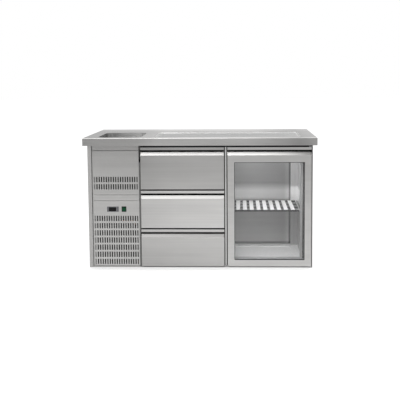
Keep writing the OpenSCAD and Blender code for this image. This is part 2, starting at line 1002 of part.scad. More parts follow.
module controller() {
    pocket_y = front_y - ctl_proud - key_proud + key_d + key_travel + key_gap;
    color([0.45, 0.45, 0.47])
        difference() {
            union() {
                along_y(front_y - ctl_proud, front_y)
                    round_rect(ctl_x - ctl_w / 2, ctl_x + ctl_w / 2, control_z - ctl_h / 2, control_z + ctl_h / 2, 3);
                plate(ctl_x - ctl_w / 2 + ctl_lip, ctl_x + ctl_w / 2 - ctl_lip, front_y - 0.5, front_y + ctl_body_d,
                    control_z - ctl_h / 2 + ctl_lip, control_z + ctl_h / 2 - ctl_lip);
            }
            plate(window_x0, window_x0 + window_w, front_y - ctl_proud - 1, front_y - ctl_proud + window_inset,
                control_z - ctl_h / 2 + ctl_lip, control_z + ctl_h / 2 - ctl_lip);
            for (side = [-1, 1]) {
                key_block(left_key_x, control_z + side * key_dz, left_key_w, key_gap,
                    front_y - ctl_proud - 1, pocket_y);
                key_block(right_key_x, control_z + side * key_dz, right_key_w, key_gap,
                    front_y - ctl_proud - 1, pocket_y);
            }
        }
}

module controller_window() {
    color(black)
        plate(window_x0 + 0.1, window_x0 + window_w - 0.1, front_y - ctl_proud - window_proud,
            front_y - ctl_proud + window_inset, control_z - ctl_h / 2 + ctl_lip + 0.1,
            control_z + ctl_h / 2 - ctl_lip - 0.1);
}

module key(x, side, w) {
    y0 = front_y - ctl_proud - key_proud;
    color([0.32, 0.32, 0.34])
        key_block(x, control_z + side * key_dz, w, 0, y0, y0 + key_d);
}

module key_set() {
    key(left_key_x, 1, left_key_w);
}

module key_defrost() {
    key(left_key_x, -1, left_key_w);
}

module key_up() {
    key(right_key_x, 1, right_key_w);
}

module key_down() {
    key(right_key_x, -1, right_key_w);
}

module switch_housing() {
    pocket_d = 15;
    color(black)
        difference() {
            union() {
                along_y(front_y - sw_proud, front_y)
                    round_rect(sw_x - sw_w / 2, sw_x + sw_w / 2, control_z - sw_h / 2, control_z + sw_h / 2, 2);
                plate(sw_x - sw_w / 2 + sw_lip, sw_x + sw_w / 2 - sw_lip, front_y - 0.5, front_y + sw_body_d,
                    control_z - sw_h / 2 + sw_lip, control_z + sw_h / 2 - sw_lip);
            }
            plate(sw_x - sw_open_w / 2, sw_x + sw_open_w / 2, front_y - sw_proud - 1, front_y + pocket_d,
                control_z - sw_open_h / 2, control_z + sw_open_h / 2);
            rod_x(sw_x - sw_open_w / 2 - 1.2, sw_x + sw_open_w / 2 + 1.2, rocker_y, control_z, pivot_r + pivot_clear);
        }
}

module switch_rocker() {
    half_h = 12.6;
    pin_out = 0.9;
    color([0.05, 0.35, 0.16])
        translate([0, rocker_y, control_z])
            rotate([rocker_tilt, 0, 0])
                translate([sw_x, 0, 0]) {
                    along_x(-rocker_w / 2, rocker_w / 2)
                        polygon([[6, -7], [6, 7], [-5.5, half_h], [-4, 0], [-5.5, -half_h]]);
                    rod_x(-sw_open_w / 2 - pin_out, sw_open_w / 2 + pin_out, 0, 0, pivot_r);
                }
}

module unit_tray() {
    y1 = body_y1 - 40;
    y0 = front_y + 24;
    color(steel)
        difference() {
            plate(machine_x0, machine_x1, y0, y1, base_t, base_t + tray_wall);
            plate(machine_x0 + tray_sheet, machine_x1 - tray_sheet, y0 + tray_sheet, y1 - tray_sheet,
                base_t + tray_sheet, base_t + tray_wall + 1);
            at_feet()
                rod_z(0, 0, 0, tray_wall + 10, foot_boss_r + foot_clear);
        }
}

module condenser() {
    x0 = machine_x - cond_w / 2;
    x1 = machine_x + cond_w / 2;
    fin_pitch = (cond_w - 8) / fin_count;
    fin_gap = fin_pitch - 1.2;
    groove = 20;
    color([0.62, 0.62, 0.62]) {
        along_z(cond_z0 + 8, cond_z0 + cond_h - 8)
            difference() {
                translate([x0, cond_y0])
                    square([cond_w, cond_d]);
                for (i = [0:fin_count - 1]) {
                    translate([x0 + 5 + i * fin_pitch, cond_y0 - 1])
                        square([fin_gap, groove + 1]);
                    translate([x0 + 5 + i * fin_pitch, cond_y0 + cond_d - groove])
                        square([fin_gap, groove + 1]);
                }
            }
        plate(x0 - 1, x1 + 1, cond_y0, cond_y0 + cond_d, tray_z, cond_z0 + 9);
        plate(x0 - 1, x1 + 1, cond_y0, cond_y0 + cond_d, cond_z0 + cond_h - 9, cond_z0 + cond_h);
    }
}

module fan_shroud() {
    x0 = machine_x - cond_w / 2 - 1;
    x1 = machine_x + cond_w / 2 + 1;
    z0 = tray_z;
    z1 = cond_z0 + cond_h;
    color([0.25, 0.25, 0.26])
        difference() {
            plate(x0, x1, shroud_y0, shroud_y1, z0, z1);
            plate(x0 + sheet_t, x1 - sheet_t, shroud_y0 - 1, shroud_y1 - sheet_t, z0 + sheet_t, z1 - sheet_t);
            rod_y(machine_x, shroud_y1 - 5, shroud_y1 + 5, fan_z, fan_r + fan_gap);
        }
}

// Fan motor on three arms that are screwed to the shroud
module fan_motor() {
    arm_w = 12;
    arm_t = 3;
    reach = fan_r + fan_gap + 8;
    shaft_y0 = shroud_y1 - fan_hub_l + 3;
    color([0.2, 0.2, 0.22]) {
        rod_y(machine_x, motor_y0, motor_y0 + motor_l, fan_z, motor_r);
        rod_y(machine_x, shaft_y0, motor_y0 + 1, fan_z, shaft_r);
        for (a = [30, 150, 270])
            translate([machine_x, 0, fan_z])
                rotate([0, a, 0]) {
                    plate(-arm_w / 2, arm_w / 2, motor_y0, motor_y0 + arm_t, 0, reach);
                    plate(-arm_w / 2, arm_w / 2, shroud_y1, motor_y0 + arm_t, reach - arm_t, reach);
                }
    }
}

// A fan round the Y axis: a bored hub and flat blades set at an angle
module axial_fan(x, z, y0, hub_l, hub_r, r, bore_r, blades) {
    blade_l = r - hub_r + 2;
    translate([x, y0, z])
        difference() {
            union() {
                rod_y(0, 0, hub_l, 0, hub_r);
                for (i = [0:blades - 1])
                    rotate([0, i * 360 / blades, 0])
                        translate([0, hub_l / 2, hub_r - 2])
                            rotate([0, 0, 32])
                                along_y(-0.8, 0.8)
                                    polygon([
                                        [-hub_r * 0.45, 0], [hub_r * 0.45, 0],
                                        [r * 0.27, blade_l * 0.8], [r * 0.18, blade_l * 0.97],
                                        [-r * 0.18, blade_l * 0.97], [-r * 0.27, blade_l * 0.8]
                                    ]);
            }
            rod_y(0, -1, hub_l + 1, 0, bore_r);
        }
}

module condenser_fan() {
    color([0.12, 0.12, 0.13])
        axial_fan(machine_x, fan_z, shroud_y1 - fan_hub_l + 4, fan_hub_l, 20, fan_r, shaft_r + shaft_clear,
            fan_blades);
}

// Hermetic compressor: a domed shell on a foot plate with rubber grommets
module compressor() {
    r = comp_r;
    plate_t = 4;
    foot = r * 0.95;
    dome = r * 0.55;
    box_w = 56;
    color([0.08, 0.08, 0.09]) {
        translate([machine_x, comp_y, comp_z]) {
            rotate_extrude()
                intersection() {
                    union() {
                        translate([0, dome])
                            square([r, comp_h - 2 * dome]);
                        translate([r - dome, dome])
                            circle(r = dome);
                        translate([r - dome, comp_h - dome])
                            circle(r = dome);
                        square([r - dome, comp_h]);
                    }
                    square([r, comp_h]);
                }
            plate(-foot, foot, -foot, foot, -plate_t + 1, 1);
            plate(-r - 26, -r + 8, -box_w / 2, box_w / 2, comp_h * 0.35, comp_h * 0.35 + box_w);
            for (x = [-1, 1], y = [-1, 1])
                rod_z(x * foot * 0.84, y * foot * 0.84, tray_z - comp_z, 0, 10);
        }
    }
}

module filter_drier() {
    color(copper) {
        rod_z(drier_x, drier_y, pipe_z - 110, pipe_z - 20, 10);
        rod_z(drier_x, drier_y, pipe_z - 125, pipe_z - 105, 6);
        rod_z(drier_x, drier_y, pipe_z - 25, pipe_z - 10, 6);
    }
}

module refrigerant_pipes() {
    comp_top = comp_z + comp_h;
    cond_x = machine_x + cond_w / 2 - 12;
    cond_pipe_y = cond_y0 + cond_d / 2;
    high_z = cond_z0 + cond_h + 22;
    low_z = tray_z + 18;
    evap_in_x = evap_x0 + 30;
    evap_y = evap_y0 + evap_d / 2;
    color(copper) {
        pipe_run([
            [machine_x + 24, comp_y - 16, comp_top],
            [machine_x + 24, comp_y - 16, high_z],
            [machine_x + 24, cond_pipe_y, high_z],
            [cond_x, cond_pipe_y, high_z],
            [cond_x, cond_pipe_y, cond_z0 + cond_h]
        ], pipe_r);
        pipe_run([
            [machine_x + cond_w / 2, cond_pipe_y, low_z],
            [drier_x, cond_pipe_y, low_z],
            [drier_x, drier_y, low_z],
            [drier_x, drier_y, pipe_z - 125]
        ], pipe_r);
        pipe_run([
            [machine_x + 10, comp_y + 20, comp_top],
            [machine_x + 10, comp_y + 20, pipe_z],
            [machine_x + 10, pipe_y, pipe_z],
            [cold_x0 + 14, pipe_y, pipe_z],
            [cold_x0 + 14, evap_y, pipe_z],
            [evap_in_x, evap_y, pipe_z],
            [evap_in_x, evap_y, evap_z - evap_h / 2]
        ], pipe_r);
    }
}

module evaporator() {
    fins = 36;
    pitch = (evap_w - 8) / fins;
    fin_gap = pitch - 1.2;
    groove = evap_d * 0.4;
    z0 = evap_z - evap_h / 2;
    z1 = evap_z + evap_h / 2;
    y1 = evap_y0 + evap_d;
    color([0.8, 0.8, 0.8]) {
        along_z(z0 + 8, z1 - 8)
            difference() {
                translate([evap_x0, evap_y0])
                    square([evap_w, evap_d]);
                for (i = [0:fins - 1]) {
                    translate([evap_x0 + 5 + i * pitch, evap_y0 - 1])
                        square([fin_gap, groove + 1]);
                    translate([evap_x0 + 5 + i * pitch, y1 - groove])
                        square([fin_gap, groove + 1]);
                }
            }
        plate(evap_x0 - 2, evap_x0 + evap_w + 2, evap_y0, y1, z0, z0 + 9);
        plate(evap_x0 - 2, evap_x0 + evap_w + 2, evap_y0, y1, z1 - 9, z1);
        for (x = [evap_x0 + 10, evap_x0 + evap_w - 30])
            plate(x, x + 20, y1 - 1, cold_y1, z1 - 20, z1 - 6);
    }
}

module evaporator_cover() {
    gap = seat;
    slot_w = 60;
    color(bright)
        along_y(cover_y, cover_y + liner_t)
            difference() {
                translate([cold_x0 + gap, cold_z0 + gap])
                    square([cold_x1 - cold_x0 - 2 * gap, cold_z1 - cold_z0 - 2 * gap]);
                translate([evap_x, evap_z])
                    circle(r = evap_fan_r + 4);
                for (i = [0:3], j = [0:2])
                    translate([mull_x1 + 60 + i * (slot_w + 30), cold_z1 - 70 + j * 16])
                        square([slot_w, 6]);
            }
}

// Small motor on two arms that are screwed to the back of the cover
module evaporator_motor() {
    arm_w = 10;
    arm_t = 2;
    reach = evap_fan_r + 14;
    shaft_y0 = evap_fan_y + 2;
    color([0.2, 0.2, 0.22]) {
        rod_y(evap_x, evap_motor_y, evap_motor_y + evap_motor_l, evap_z, evap_motor_r);
        rod_y(evap_x, shaft_y0, evap_motor_y + 1, evap_z, evap_shaft_r);
        for (a = [0, 180])
            translate([evap_x, 0, evap_z])
                rotate([0, a, 0]) {
                    plate(-arm_w / 2, arm_w / 2, evap_motor_y, evap_motor_y + arm_t, 0, reach);
                    plate(-arm_w / 2, arm_w / 2, cover_y + liner_t, evap_motor_y + arm_t, reach - arm_t, reach);
                }
    }
}

module evaporator_fan() {
    color([0.12, 0.12, 0.13])
        axial_fan(evap_x, evap_z, evap_fan_y, evap_hub_l, evap_hub_r, evap_fan_r, evap_shaft_r + shaft_clear,
            fan_blades);
}

module rear_post() {
    color(bright)
        along_z(cold_z0 - liner_gap, cold_z1)
            difference() {
                translate([mull_x0, rear_post_y0])
                    square([mullion_w, rear_post_d]);
                translate([mull_x0 + 1.5, rear_post_y0 + 1.5])
                    square([mullion_w - 3, rear_post_d]);
            }
}

// Folded upright, open to the rear
module upright_outline(x0, x1, y0, d) {
    difference() {
        translate([x0, y0])
            square([x1 - x0, d]);
        translate([x0 + upright_t, y0 + upright_t])
            square([x1 - x0 - 2 * upright_t, d]);
    }
}

module shelf_uprights() {
    z0 = cold_z0 - liner_gap;
    z1 = cold_z1 + liner_gap;
    y0 = frame_y1 + seat;
    clip_z = shelf_z - shelf_bar_h - clip_t - seat;
    corner_y0 = cover_y - corner_post_d - seat;
    front_clip_y = y0 + (upright_d - clip_w) / 2;
    rear_clip_y = corner_y0 - 30;
    right_x = cold_x1 - upright_w;
    color(bright) {
        along_z(z0, z1) {
            upright_outline(mull_x1 - upright_w, mull_x1, y0, upright_d);
            upright_outline(cold_x1 - upright_w, cold_x1, y0, upright_d);
            upright_outline(cold_x1 - corner_post_w, cold_x1, corner_y0, corner_post_d);
        }
        plate(mull_x1 - 1, mull_x1 + clip_l, front_clip_y, front_clip_y + clip_w, clip_z, clip_z + clip_t);
        plate(right_x - clip_l, right_x + 1, front_clip_y, front_clip_y + clip_w, clip_z, clip_z + clip_t);
        plate(right_x - clip_l, right_x + 1, rear_clip_y, corner_y0 + 1, clip_z, clip_z + clip_t);
        plate(mull_x1, mull_x1 + clip_l, rear_post_y0 + 2, rear_post_y0 + 2 + clip_w, clip_z, clip_z + clip_t);
    }
}

// Shelf of flat slats that run front to back, on a frame of flat bars
module shelf() {
    bar_t = 3;
    z0 = shelf_z - shelf_bar_h;
    slats = floor((shelf_x1 - shelf_x0 - 8) / slat_pitch);
    first = (shelf_x0 + shelf_x1) / 2 - (slats - 1) * slat_pitch / 2;
    color(bright) {
        for (y = [shelf_y0, shelf_y1 - bar_t])
            plate(shelf_x0, shelf_x1, y, y + bar_t, z0, shelf_z);
        for (x = [shelf_x0, shelf_x1 - bar_t])
            plate(x, x + bar_t, shelf_y0, shelf_y1, z0, shelf_z);
        for (k = [1:2])
            translate([0, shelf_y0 + k * (shelf_y1 - shelf_y0) / 3, 0])
                plate(shelf_x0 + 1, shelf_x1 - 1, -6, 6, z0 + 3, shelf_z - slat_t + 0.5);
        for (i = [0:slats - 1])
            plate(first + i * slat_pitch - slat_w / 2, first + i * slat_pitch + slat_w / 2,
                shelf_y0 + 1, shelf_y1 - 1, shelf_z - slat_t, shelf_z);
    }
}

// Section of one runner member as a channel: web from 0 to the sheet, open away from the web
module rail_section(web_x, open_x, half_h) {
    lo = min(web_x, open_x);
    s = open_x > web_x ? 1 : -1;
    translate([s > 0 ? web_x : web_x - rail_sheet, -half_h])
        square([rail_sheet, 2 * half_h]);
    for (z = [-half_h, half_h - rail_sheet])
        translate([lo, z])
            square([abs(open_x - web_x), rail_sheet]);
}

// The two sides of a drawer: +1 starts at the left wall, -1 at the right post
module both_sides() {
    translate([cold_x0, 0, 0])
        children();
    translate([mull_x0, 0, 0])
        mirror([1, 0, 0])
            children();
}

module runner_rails() {
    color(bright)
        for (i = [0:2])
            translate([0, 0, rail_z[i]])
                both_sides()
                    along_y(rail_y0, rail_y1)
                        rail_section(0, rail_t - 1, fixed_half);
}

module runner_mid(i) {
    color([0.7, 0.7, 0.72])
        translate([0, 0, rail_z[i]])
            both_sides()
                along_y(rail_y0, rail_y1)
                    rail_section(rail_sheet + seat, rail_t - 1, mid_half);
}

module runner_mid_1() {
    runner_mid(0);
}

module runner_mid_2() {
    runner_mid(1);
}

module runner_mid_3() {
    runner_mid(2);
}

// Drawer box with its runner members and the flange that closes the back of the front
module drawer_box(i) {
    z0 = bay_z0[i] + box_clear;
    z1 = bay_z1[i] - box_clear;
    y0 = box_y0;
    y1 = box_y0 + box_d;
    flange_z1 = drawer_top[i] - skin_t - closure_gap;
    flange_z0 = drawer_top[i] - drawer_h[i] + skin_t + closure_gap;
    flange_x0 = drawer_x0 + skin_t + closure_gap;
    flange_x1 = drawer_x1 - skin_t - closure_gap;
    holes_x = 5;
    holes_y = 4;
    color(bright) {
        difference() {
            union() {
                plate(box_x0, box_x1, y0 - 0.5, y1, z0, z1);
                plate(flange_x0, flange_x1, y0 - closure_t, y0, flange_z0, flange_z1);
            }
            plate(box_x0 + box_t, box_x1 - box_t, y0 + box_t, y1 - box_t, z0 + box_t, z1 - box_t);
            plate(box_x0 + box_rim, box_x1 - box_rim, y0 + box_rim, y1 - box_rim, z1 - box_t - 1, z1 + 1);
            for (a = [0:holes_x - 1], b = [0:holes_y - 1])
                rod_z(box_x0 + (a + 0.5) * (box_x1 - box_x0) / holes_x,
                    y0 + (b + 0.5) * box_d / holes_y, z0 - 1, z0 + box_t + 1, 9);
        }
        translate([0, 0, rail_z[i]])
            both_sides()
                along_y(rail_y0, rail_y1)
                    rail_section(rail_t, 2 * rail_sheet + 2 * seat, inner_half);
    }
    color([0.35, 0.35, 0.36])
        gasket_ring(drawer_x0, drawer_x1, drawer_top[i] - drawer_h[i], drawer_top[i]);
}

// Door or drawer gasket: a flat foot and a narrower sealing bulb
module gasket_ring(x0, x1, z0, z1) {
    y0 = front_y + front_t;
    a = gasket_inset;
    b = gasket_inset + gasket_w;
    c = 2;
    along_y(y0, y0 + gasket_lip_t)
        difference() {
            translate([x0 + a, z0 + a])
                square([x1 - x0 - 2 * a, z1 - z0 - 2 * a]);
            translate([x0 + b, z0 + b])
                square([x1 - x0 - 2 * b, z1 - z0 - 2 * b]);
        }
    along_y(y0 + gasket_lip_t - 0.2, y0 + gasket_t - seat)
        difference() {
            round_rect(x0 + a + c, x1 - a - c, z0 + a + c, z1 - a - c, 4);
            translate([x0 + b - c, z0 + b - c])
                square([x1 - x0 - 2 * (b - c), z1 - z0 - 2 * (b - c)]);
        }
}

module drawer_box_1() {
    drawer_box(0);
}

module drawer_box_2() {
    drawer_box(1);
}

module drawer_box_3() {
    drawer_box(2);
}

// Section of a front in (depth, height below the top edge), with the grip cut in
module front_section(h) {
    polygon([
        [0, 0], [0, -band_h], [grip_d, -band_h], [grip_d, -lip_z + 2],
        [lip_d - 5, -lip_z + 2], [lip_d + 1.5, -grip_z - 1.5], [lip_d + 0.5, -grip_z],
        [lip_d - 0.7, -grip_z], [0, -lip_z], [0, -h], [front_t, -h], [front_t, 0]
    ]);
}

// The same section where the grip is closed at its ends
module end_section(h) {
    polygon([
        [0, 0], [0, -band_h], [lip_d, -band_h - 2], [lip_d, -grip_z], [0, -lip_z],
        [0, -h], [front_t, -h], [front_t, 0]
    ]);
}

// Hollow of the front, open at the back for the foam
module hollow_section(h) {
    t = skin_t;
    back = front_t + 1;
    polygon([
        [t, -t], [back, -t], [back, -h + t], [t, -h + t], [t, -lip_z - t],
        [grip_d + t, -lip_z - t], [grip_d + t, -band_h + t], [t, -band_h + t]
    ]);
}

module front_block(x0, x1, top, h) {
    translate([0, front_y, top]) {
        along_x(x0 + grip_end, x1 - grip_end)
            front_section(h);
        along_x(x0, x0 + grip_end)
            end_section(h);
        along_x(x1 - grip_end, x1)
            end_section(h);
    }
}

module front_hollow(x0, x1, top, h) {
    translate([0, front_y, top])
        along_x(x0 + skin_t, x1 - skin_t)
            hollow_section(h);
}

module drawer_front(i) {
    color(steel)
        difference() {
            front_block(drawer_x0, drawer_x1, drawer_top[i], drawer_h[i]);
            front_hollow(drawer_x0, drawer_x1, drawer_top[i], drawer_h[i]);
        }
}

module drawer_front_1() {
    drawer_front(0);
}

module drawer_front_2() {
    drawer_front(1);
}

module drawer_front_3() {
    drawer_front(2);
}

// Outline of the glass opening, grown by a margin
module glass_outline(grow) {
    translate([open_x0 - grow, glass_z0 - grow])
        square([open_x1 - open_x0 + 2 * grow, glass_z1 - glass_z0 + 2 * grow]);
}

module door_frame() {
    h = front_z1 - front_z0;
    color(steel)
        difference() {
            intersection() {
                front_block(door_x0, door_x1, front_z1, h);
                along_z(front_z0 - 1, front_z1 + 1)
                    union() {
                        round_rect(door_x0, door_x1, front_y, front_y + 20, door_corner_r);
                        translate([door_x0, front_y + 10])
                            square([door_x1 - door_x0, front_t]);
                    }
            }
            difference() {
                front_hollow(door_x0, door_x1, front_z1, h);
                along_y(front_y - 1, front_y + front_t + 2)
                    glass_outline(skin_t);
                along_y(front_y + reveal_d - skin_t, front_y + front_t + 2)
                    glass_outline(rebate + skin_t);
            }
            along_y(front_y - 1, front_y + front_t + 1)
                glass_outline(0);
            along_y(front_y + reveal_d, front_y + front_t + 1)
                glass_outline(rebate);
            along_y(front_y + front_t - closure_t - closure_gap, front_y + front_t + 1)
                glass_outline(rebate + skin_t + 1);
            rod_z(hinge_x, hinge_y, front_z0 - 1, front_z0 + 5, bush_r);
            rod_z(hinge_x, hinge_y, front_z1 - 5, front_z1 + 1, bush_r);
        }
}

// Steel ring that closes the back of the door and holds the glass, with the two hinge bushes
module door_inner_frame() {
    y1 = front_y + front_t;
    pane_y1 = front_y + reveal_d + seal_t + 2 * pane_t + pane_gap;
    inset = skin_t + closure_gap;
    bush_z0 = base_t + hinge_plate_t + seat;
    bush_z1 = front_z1 - band_h + skin_t + seat;
    color(bright)
        difference() {
            union() {
                along_y(y1 - closure_t, y1)
                    translate([door_x0 + inset, front_z0 + inset])
                        square([door_x1 - door_x0 - 2 * inset, front_z1 - front_z0 - 2 * inset]);
                along_y(pane_y1 + 0.1, y1)
                    glass_outline(rebate - closure_gap);
            }
            along_y(pane_y1 - 1, y1 + 1)
                glass_outline(0);
        }
    color([0.85, 0.85, 0.82]) {
        difference() {
            union() {
                rod_z(hinge_x, hinge_y, front_z0, front_z0 + pin_l + 4, bush_r);
                rod_z(hinge_x, hinge_y, bush_z0, front_z0, bush_r + 2);
            }
            rod_z(hinge_x, hinge_y, bush_z0 - 1, front_z0 + pin_l + 2, pin_r + pin_clear);
        }
        difference() {
            rod_z(hinge_x, hinge_y, bush_z1, front_z1, bush_r);
            rod_z(hinge_x, hinge_y, bush_z1 + 1, front_z1 + 1, pin_r + pin_clear);
        }
    }
}

// Two panes, the aluminium spacer between them and the rubber seal round the opening
module door_glass() {
    y0 = front_y + reveal_d;
    pane = rebate - pane_inset;
    color([0.75, 0.85, 0.84, 0.35]) {
        along_y(y0 + seal_t, y0 + seal_t + pane_t)
            glass_outline(pane);
        along_y(y0 + seal_t + pane_t + pane_gap, y0 + seal_t + 2 * pane_t + pane_gap)
            glass_outline(pane);
    }
}

module door_gasket() {
    y0 = front_y + reveal_d;
    color(black) {
        gasket_ring(door_x0, door_x1, front_z0, front_z1);
        along_y(front_y + 1, y0 + seal_t)
            difference() {
                glass_outline(0);
                glass_outline(-seal_w);
            }
        along_y(y0, y0 + seal_t)
            difference() {
                glass_outline(rebate - 0.5);
                glass_outline(-0.5);
            }
        along_y(y0 + seal_t + pane_t, y0 + seal_t + pane_t + pane_gap)
            difference() {
                glass_outline(rebate - 2);
                glass_outline(-seal_w);
            }
    }
}

module hinge_brackets() {
    x0 = hinge_x - hinge_w / 2;
    x1 = door_x1 + 2;
    upper_z = front_z1 + hinge_play;
    lower_z = base_t + hinge_plate_t;
    color([0.6, 0.6, 0.6]) {
        plate(x0, x1, hinge_y - 6, face_y, upper_z, upper_z + hinge_plate_t);
        plate(x0, x1, face_y - hinge_plate_t, face_y, upper_z, body_h - 1);
        rod_z(hinge_x, hinge_y, upper_z - pin_l, upper_z + 1, pin_r);
        plate(x0, x1, hinge_y - 4, face_y, base_t, lower_z);
        rod_z(hinge_x, hinge_y, lower_z - 1, front_z0 + pin_l, pin_r);
    }
}

module cable_gland() {
    y1 = body_y1;
    bore_r = 4;
    color(black)
        difference() {
            union() {
                rod_y(gland_x, y1 - sheet_t - 8, y1 + 8, gland_z, gland_r);
                translate([gland_x, y1 + 6, gland_z])
                    rotate([-90, 0, 0])
                        cylinder(h = 6, r = 13, $fn = 6);
                translate([gland_x, y1, gland_z])
                    rotate([-90, 0, 0])
                        cylinder(h = 5, r = 14, $fn = 6);
                translate([gland_x, y1 - sheet_t - 6, gland_z])
                    rotate([-90, 0, 0])
                        cylinder(h = 6, r = 14, $fn = 6);
            }
            rod_y(gland_x, y1 - 20, y1 + 20, gland_z, bore_r);
        }
}

worktop();
worktop_stiffeners();
sink_bowl();
sink_waste();
drip_pan();
drip_drain();
drip_grate();
left_side_panel();
right_side_panel();
back_panel();
base_pan();
foam_walls();
liner_panels();
partition_skin();
front_frame();
mullion_trim();
machine_post();
top_fascia();
upper_grille();
panel_rail();
lower_grille();
controller();
controller_window();
key_set();
key_defrost();
key_up();
key_down();
switch_housing();
switch_rocker();
unit_tray();
condenser();
fan_shroud();
fan_motor();
condenser_fan();
compressor();
filter_drier();
refrigerant_pipes();
evaporator();
evaporator_cover();
evaporator_motor();
evaporator_fan();
rear_post();
shelf_uprights();
shelf();
runner_rails();
runner_mid_1();
runner_mid_2();
runner_mid_3();
drawer_front_1();
drawer_front_2();
drawer_front_3();
drawer_box_1();
drawer_box_2();
drawer_box_3();
door_frame();
door_inner_frame();
door_glass();
door_gasket();
hinge_brackets();
cable_gland();
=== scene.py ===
import json
import math

import bmesh
import bpy
import numpy as np
from mathutils import Matrix, Vector


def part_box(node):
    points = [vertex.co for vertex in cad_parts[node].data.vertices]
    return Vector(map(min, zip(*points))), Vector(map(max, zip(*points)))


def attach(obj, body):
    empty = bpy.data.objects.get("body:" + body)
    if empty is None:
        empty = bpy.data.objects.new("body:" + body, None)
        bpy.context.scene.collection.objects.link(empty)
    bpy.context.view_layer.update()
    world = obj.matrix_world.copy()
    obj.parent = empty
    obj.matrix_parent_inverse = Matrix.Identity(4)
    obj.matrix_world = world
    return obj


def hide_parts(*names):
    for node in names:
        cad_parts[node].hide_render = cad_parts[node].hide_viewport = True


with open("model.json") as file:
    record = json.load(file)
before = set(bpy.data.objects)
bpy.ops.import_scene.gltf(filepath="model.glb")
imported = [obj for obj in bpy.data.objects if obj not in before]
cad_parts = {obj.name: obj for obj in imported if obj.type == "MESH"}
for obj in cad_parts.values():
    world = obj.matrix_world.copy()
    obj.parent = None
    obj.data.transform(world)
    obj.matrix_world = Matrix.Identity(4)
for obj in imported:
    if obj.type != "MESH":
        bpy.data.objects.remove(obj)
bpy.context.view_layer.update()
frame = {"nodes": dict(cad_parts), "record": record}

cadNodes = frame["nodes"]
print("loaded", len(cadNodes), "CAD nodes")

cameraSetup = {  # the photograph's view: metres, millimetres of lens, and the shift as a part of the picture's width
    "place": (0.2495, -4.722, 1.2515),
    "yaw": -1.46,      # degrees, to the right
    "pitch": 5.08,     # degrees, downwards
    "roll": -0.31,
    "lens": 62.2,
    "shift": (-0.0525, -0.1605),
}


def makeCamera(cfg):
    yaw, pitch, roll = (math.radians(cfg[k]) for k in ("yaw", "pitch", "roll"))
    ahead = Vector((math.sin(yaw) * math.cos(pitch), math.cos(yaw) * math.cos(pitch), -math.sin(pitch)))
    right = Vector((math.cos(yaw), -math.sin(yaw), 0.0))
    up = right.cross(ahead)
    rolledRight = right * math.cos(roll) + up * math.sin(roll)
    rolledUp = up * math.cos(roll) - right * math.sin(roll)
    turn = Matrix((rolledRight, rolledUp, -ahead)).transposed().to_4x4()
    data = bpy.data.cameras.new("camera")
    data.lens = cfg["lens"]
    data.shift_x, data.shift_y = cfg["shift"]
    camera = bpy.data.objects.new("camera", data)
    camera.matrix_world = Matrix.Translation(cfg["place"]) @ turn
    bpy.context.scene.collection.objects.link(camera)
    bpy.context.scene.camera = camera


makeCamera(cameraSetup)
print("camera set")


class Wire:
    # A socket in Python arithmetic: each operator adds one Math node
    def __init__(self, graph, socket):
        self.graph = graph
        self.socket = socket

    def maths(self, operation, first, second):
        return self.graph.node("Math", {"operation": operation}, {0: first, 1: second})

    def __add__(self, other):
        return self.maths("ADD", self, other)

    def __radd__(self, other):
        return self.maths("ADD", other, self)

    def __sub__(self, other):
        return self.maths("SUBTRACT", self, other)

    def __rsub__(self, other):
        return self.maths("SUBTRACT", other, self)

    def __mul__(self, other):
        return self.maths("MULTIPLY", self, other)

    def __rmul__(self, other):
        return self.maths("MULTIPLY", other, self)

    def __pow__(self, other):
        return self.maths("POWER", self, other)


class Graph:
    # The node tree of one material or of the world
    def __init__(self, owner):
        owner.use_nodes = True
        self.owner = owner
        self.tree = owner.node_tree
        self.tree.nodes.clear()

    def node(self, kind, settings=None, inputs=None, out=0):
        made = self.tree.nodes.new("ShaderNode" + kind)
        for key, value in (settings or {}).items():
            if key == "stops":
                self.setStops(made.color_ramp, value)
            else:
                setattr(made, key, value)
        for key, value in (inputs or {}).items():
            if isinstance(value, Wire):
                self.tree.links.new(value.socket, made.inputs[key])
            else:
                made.inputs[key].default_value = value
        return Wire(self, made.outputs[out]) if len(made.outputs) else made

    def setStops(self, ramp, stops):
        for place, _ in stops[1:-1]:
            ramp.elements.new(place)
        for element, (place, value) in zip(ramp.elements, stops):
            element.position = place
            element.color = (*value, 1.0) if isinstance(value, tuple) else (value, value, value, 1.0)

    def mixColour(self, factor, first, second):
        return self.node("Mix", {"data_type": "RGBA"}, {0: factor, 6: first, 7: second}, out=2)

    def ramp(self, value, start, end):
        # 0 below start, 1 above end
        return self.node("MapRange", {"clamp": True}, {0: value, 1: start, 2: end, 3: 0.0, 4: 1.0})

    def noise(self, place, scale, detail=2.0, roughness=0.5):
        stretched = self.node("Mapping", None, {"Vector": place, "Scale": scale})
        values = {"Vector": stretched, "Scale": 1.0, "Detail": detail, "Roughness": roughness}
        return self.node("TexNoise", None, values)

    def finish(self, surface):
        isWorld = isinstance(self.owner, bpy.types.World)
        self.node("OutputWorld" if isWorld else "OutputMaterial", None, {"Surface": surface})
        return self.owner


def rgba(colour, factor=1.0):
    return tuple(min(1.0, c * factor) for c in colour[:3]) + (1.0,)


